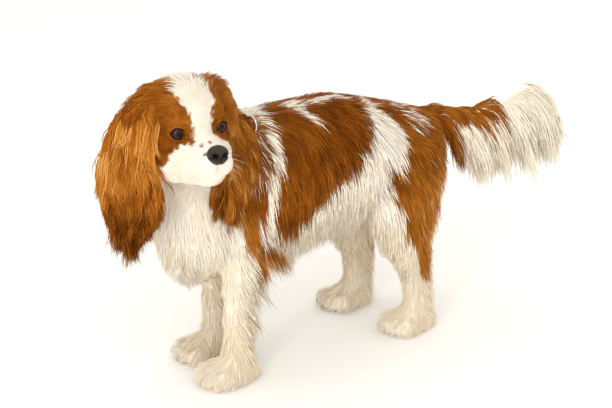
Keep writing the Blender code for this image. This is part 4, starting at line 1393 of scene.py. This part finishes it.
class SPANIEL_OT_face(bpy.types.Operator):
    """Makes the eyes, the nose and the whiskers"""
    bl_idname = "spaniel.face"
    bl_label = "Eyes, nose and whiskers"

    def execute(self, context):
        colours = context.scene.spaniel_colours
        wet = eye_material(colours)
        for side, name in ((1, "left"), (-1, "right")):
            self.eye(side, f"eyeball_{name}", f"eye_{name}", wet)
        self.nose(nose_material(colours))
        self.whiskers(plain_material("white_whisker", "#F4EDE0", 0.4))
        return {"FINISHED"}

    def eye(self, side, name, node, material):
        """A round eye with a raised cornea; its gaze values grow from the middle of the pupil."""
        points, faces = sphere(48, 32, EYE_RADIUS)
        centre, gaze, _, _ = eye_frame(side)
        angle = np.arccos(np.clip(unit(points) @ gaze, -1, 1))
        cornea = 0.7 * np.clip(1 - (angle / math.radians(36)) ** 2, 0, 1)
        points = head_to_dog(points + unit(points) * cornea[:, None] + centre)
        made = smooth_mesh(name, to_frame(points).tolist(), faces, material)
        carry(made.data, "gaze", angle)
        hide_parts(node)
        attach(made, "root")

    def nose(self, material):
        """The nose leather, with nostrils, the slits beside them and the groove between, sunk in and
        marked for painted shade.
        """
        points, faces = sphere(96, 64, 1)
        ahead, out, up = points.T
        wide = NOSE_WIDTH * (1 + 0.1 * up - 0.05 * up ** 2)
        deep = NOSE_DEPTH * np.sign(ahead) * np.abs(ahead) ** 0.85
        shaped = np.stack([deep, wide * out, NOSE_HEIGHT * up - 1.2 * ahead * (up < 0)], 1)
        _, across, high = shaped.T
        # bare marks the nostrils, slits and groove, which the nose's material paints near black as
        # shade in these hollows.
        bare = np.zeros(len(points))
        inward = np.zeros(len(points))
        for side in (-1, 1):
            beside = across - side * NOSTRIL_OUT
            above = high - 0.6 - 0.3 * side * beside
            hole = np.hypot(beside / NOSTRIL_WIDTH, above / NOSTRIL_HEIGHT)
            hole = np.exp(-hole ** 2.6) * (ahead > 0)
            slit = np.exp(-((across - side * 9.0) / 3.2) ** 2 - (high + 1.6) ** 2) * (ahead > -0.1)
            inward += NOSTRIL_DEPTH * hole + SLIT_DEPTH * slit
            bare = np.maximum(bare, np.maximum(hole, 0.8 * slit))
        groove = thin_line(across, 1.0) * (ahead > 0) * step_between(4, -2, high)
        inward += GROOVE_DEPTH * groove
        bare = np.maximum(bare, 0.7 * groove)
        shaped = shaped - unit(shaped * (1, 0.4, 0.6)) * inward[:, None]
        places = to_frame(head_to_dog(shaped + NOSE_CENTRE))
        made = smooth_mesh("nose_tip", places.tolist(), faces, material)
        carry(made.data, "bare", np.clip(bare, 0, 1))
        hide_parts("nose")
        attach(made, "root")

    def whiskers(self, material):
        """Thin tapering whiskers in rows on both sides of the muzzle."""
        rng = np.random.default_rng(5)
        part = np.linspace(0, 1, 7)[:, None]
        paths = []
        for side, row, place in itertools.product((-1, 1), range(3), range(4)):
            root = np.array((40 - 6 * place, side * (15 + 1.4 * place), -22 - 5.5 * row))
            away = unit(np.array((0.25 - 0.25 * place, side * 1.0, -0.35 - 0.1 * row)))
            away = unit(away + rng.normal(0, 0.08, 3))
            length = rng.uniform(16, 27)
            paths.append(root + away * part * length + np.array((-5, 0, -5)) * part ** 2)
        made = bristles("whiskers", head_to_dog(np.array(paths)), WHISKER_WIDTH, material)
        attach(made, "root")


class SPANIEL_OT_claws(bpy.types.Operator):
    """Adds a short dark claw to each toe"""
    bl_idname = "spaniel.claws"
    bl_label = "Claws"

    def execute(self, context):
        horn = plain_material("claw_horn", "#7A685A", 0.4)
        part = np.linspace(0, 1, 6)[:, None]
        paths = []
        for centre_x, centre_y, half_length in PAWS:
            for spread in PAW_TOES:
                reach = toe_reach(spread, half_length) - CLAW_PAST_TOE
                root = np.array((centre_x + TOE_GAP * spread, centre_y + reach, 7.0))
                paths.append(root + part * np.array((0, -5.5, -2.5))
                             + part ** 2 * np.array((0, 0, -3.5)))
        made = bristles("claws", np.array(paths), CLAW_WIDTH, horn)
        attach(made, "root")
        return {"FINISHED"}


class SPANIEL_OT_collar(bpy.types.Operator):
    """Gives the collar and its ring their leather and steel"""
    bl_idname = "spaniel.collar"
    bl_label = "Collar"

    def execute(self, context):
        leather = collar_material(context.scene.spaniel_colours.collar)
        steel = steel_material()
        for name, material in (("collar", leather), ("collar_ring", steel)):
            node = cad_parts[name]
            node.data.materials.clear()
            node.data.materials.append(material)
        return {"FINISHED"}


SKY_COLOUR = (1.0, 0.985, 0.96, 1)
SKY_STRENGTH = 1.12
# The soft lights: name, place, width in metres and power in watts.
LAMPS = (("key_light", (1.6, -1.2, 1.7), 1.8, 13), ("fill_light", (1.2, -1.7, 0.3), 1.6, 14),
         ("back_light", (-0.8, 1.2, 1.6), 1.6, 6), ("eye_light", (1.0, -1.9, 1.15), 0.28, 7))


class SPANIEL_OT_studio(bpy.types.Operator):
    """Sets up the pale floor, the soft lights and the camera"""
    bl_idname = "spaniel.studio"
    bl_label = "Studio"

    def execute(self, context):
        scene = context.scene
        self.floor()
        world = bpy.data.worlds.new("studio_air")
        world.use_nodes = True
        fill(world.node_tree.nodes["Background"], {"Color": SKY_COLOUR, "Strength": SKY_STRENGTH})
        scene.world = world
        for name, place, size, power in LAMPS:
            self.lamp(name, place, size, power)
        scene.view_settings.view_transform = "Standard"
        self.camera(scene)
        return {"FINISHED"}

    def floor(self):
        """A pale floor, level for its first part, that curves up far behind the dog."""
        rows, level = 24, 0.7
        start, run, half_width, bend_run, bend_rise = -4.0, 7.0, 5.0, 1.5, 4.0
        turn = Matrix.Rotation(PHOTO_TURN + math.pi / 2, 3, "Z")
        points, faces = [], []
        for row in range(rows):
            part = row / (rows - 1)
            bend = max(0.0, (part - level) / (1 - level))
            reach = start + run * min(part, level) / level + bend_run * math.sqrt(bend)
            for across in (-half_width, half_width):
                points.append(tuple(turn @ Vector((reach, across, bend_rise * bend ** 2))))
        for first in range(0, 2 * rows - 2, 2):
            faces.append((first, first + 2, first + 3, first + 1))
        floor = smooth_mesh("floor", points, faces, plain_material("white_paint", "#F2F0EB", 0.9))

    def lamp(self, name, place, size, power):
        light = bpy.data.lights.new(name, "AREA")
        light.shape = "DISK"
        light.size = size
        light.energy = power
        made = in_scene(name, light)
        made.location = place
        toward_dog = Vector((0, 0, 0.2)) - Vector(place)
        made.rotation_euler = toward_dog.to_track_quat("-Z", "Y").to_euler()

    def camera(self, scene):
        """The photograph's viewpoint: to the dog's left front and a little above it."""
        level = math.cos(PHOTO_RISE)
        back = Vector((math.sin(PHOTO_TURN) * level, -math.cos(PHOTO_TURN) * level,
                       math.sin(PHOTO_RISE)))
        data = bpy.data.cameras.new("camera")
        data.sensor_width = 36
        data.lens = PHOTO_LENS
        made = in_scene("camera", data)
        made.location = PHOTO_TARGET + back * PHOTO_DISTANCE
        made.rotation_euler = (-back).to_track_quat("-Z", "Y").to_euler()
        scene.camera = made


STEPS = (SPANIEL_OT_skin, SPANIEL_OT_face, SPANIEL_OT_claws, SPANIEL_OT_coat, SPANIEL_OT_collar,
         SPANIEL_OT_studio)


class SPANIEL_PT_panel(bpy.types.Panel):
    """The spaniel's pieces, sizes and colours"""
    bl_label = "Spaniel"
    bl_idname = "SPANIEL_PT_panel"
    bl_space_type = "VIEW_3D"
    bl_region_type = "UI"
    bl_category = "Spaniel"

    def draw(self, context):
        for step in STEPS:
            self.layout.operator(step.bl_idname)
        for group in (context.scene.spaniel_sizes, context.scene.spaniel_colours):
            for name in group.__annotations__:
                self.layout.prop(group, name)


CLASSES = (SpanielColours, SpanielSizes, *STEPS, SPANIEL_PT_panel)


def register():
    for each in CLASSES:
        bpy.utils.register_class(each)
    bpy.types.Scene.spaniel_colours = PointerProperty(type=SpanielColours)
    bpy.types.Scene.spaniel_sizes = PointerProperty(type=SpanielSizes)


def unregister():
    del bpy.types.Scene.spaniel_sizes
    del bpy.types.Scene.spaniel_colours
    for each in reversed(CLASSES):
        bpy.utils.unregister_class(each)


def main():
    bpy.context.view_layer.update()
    register()
    for step in STEPS:
        group, name = step.bl_idname.split(".")
        getattr(getattr(bpy.ops, group), name)()


if __name__ == "__main__":
    main()
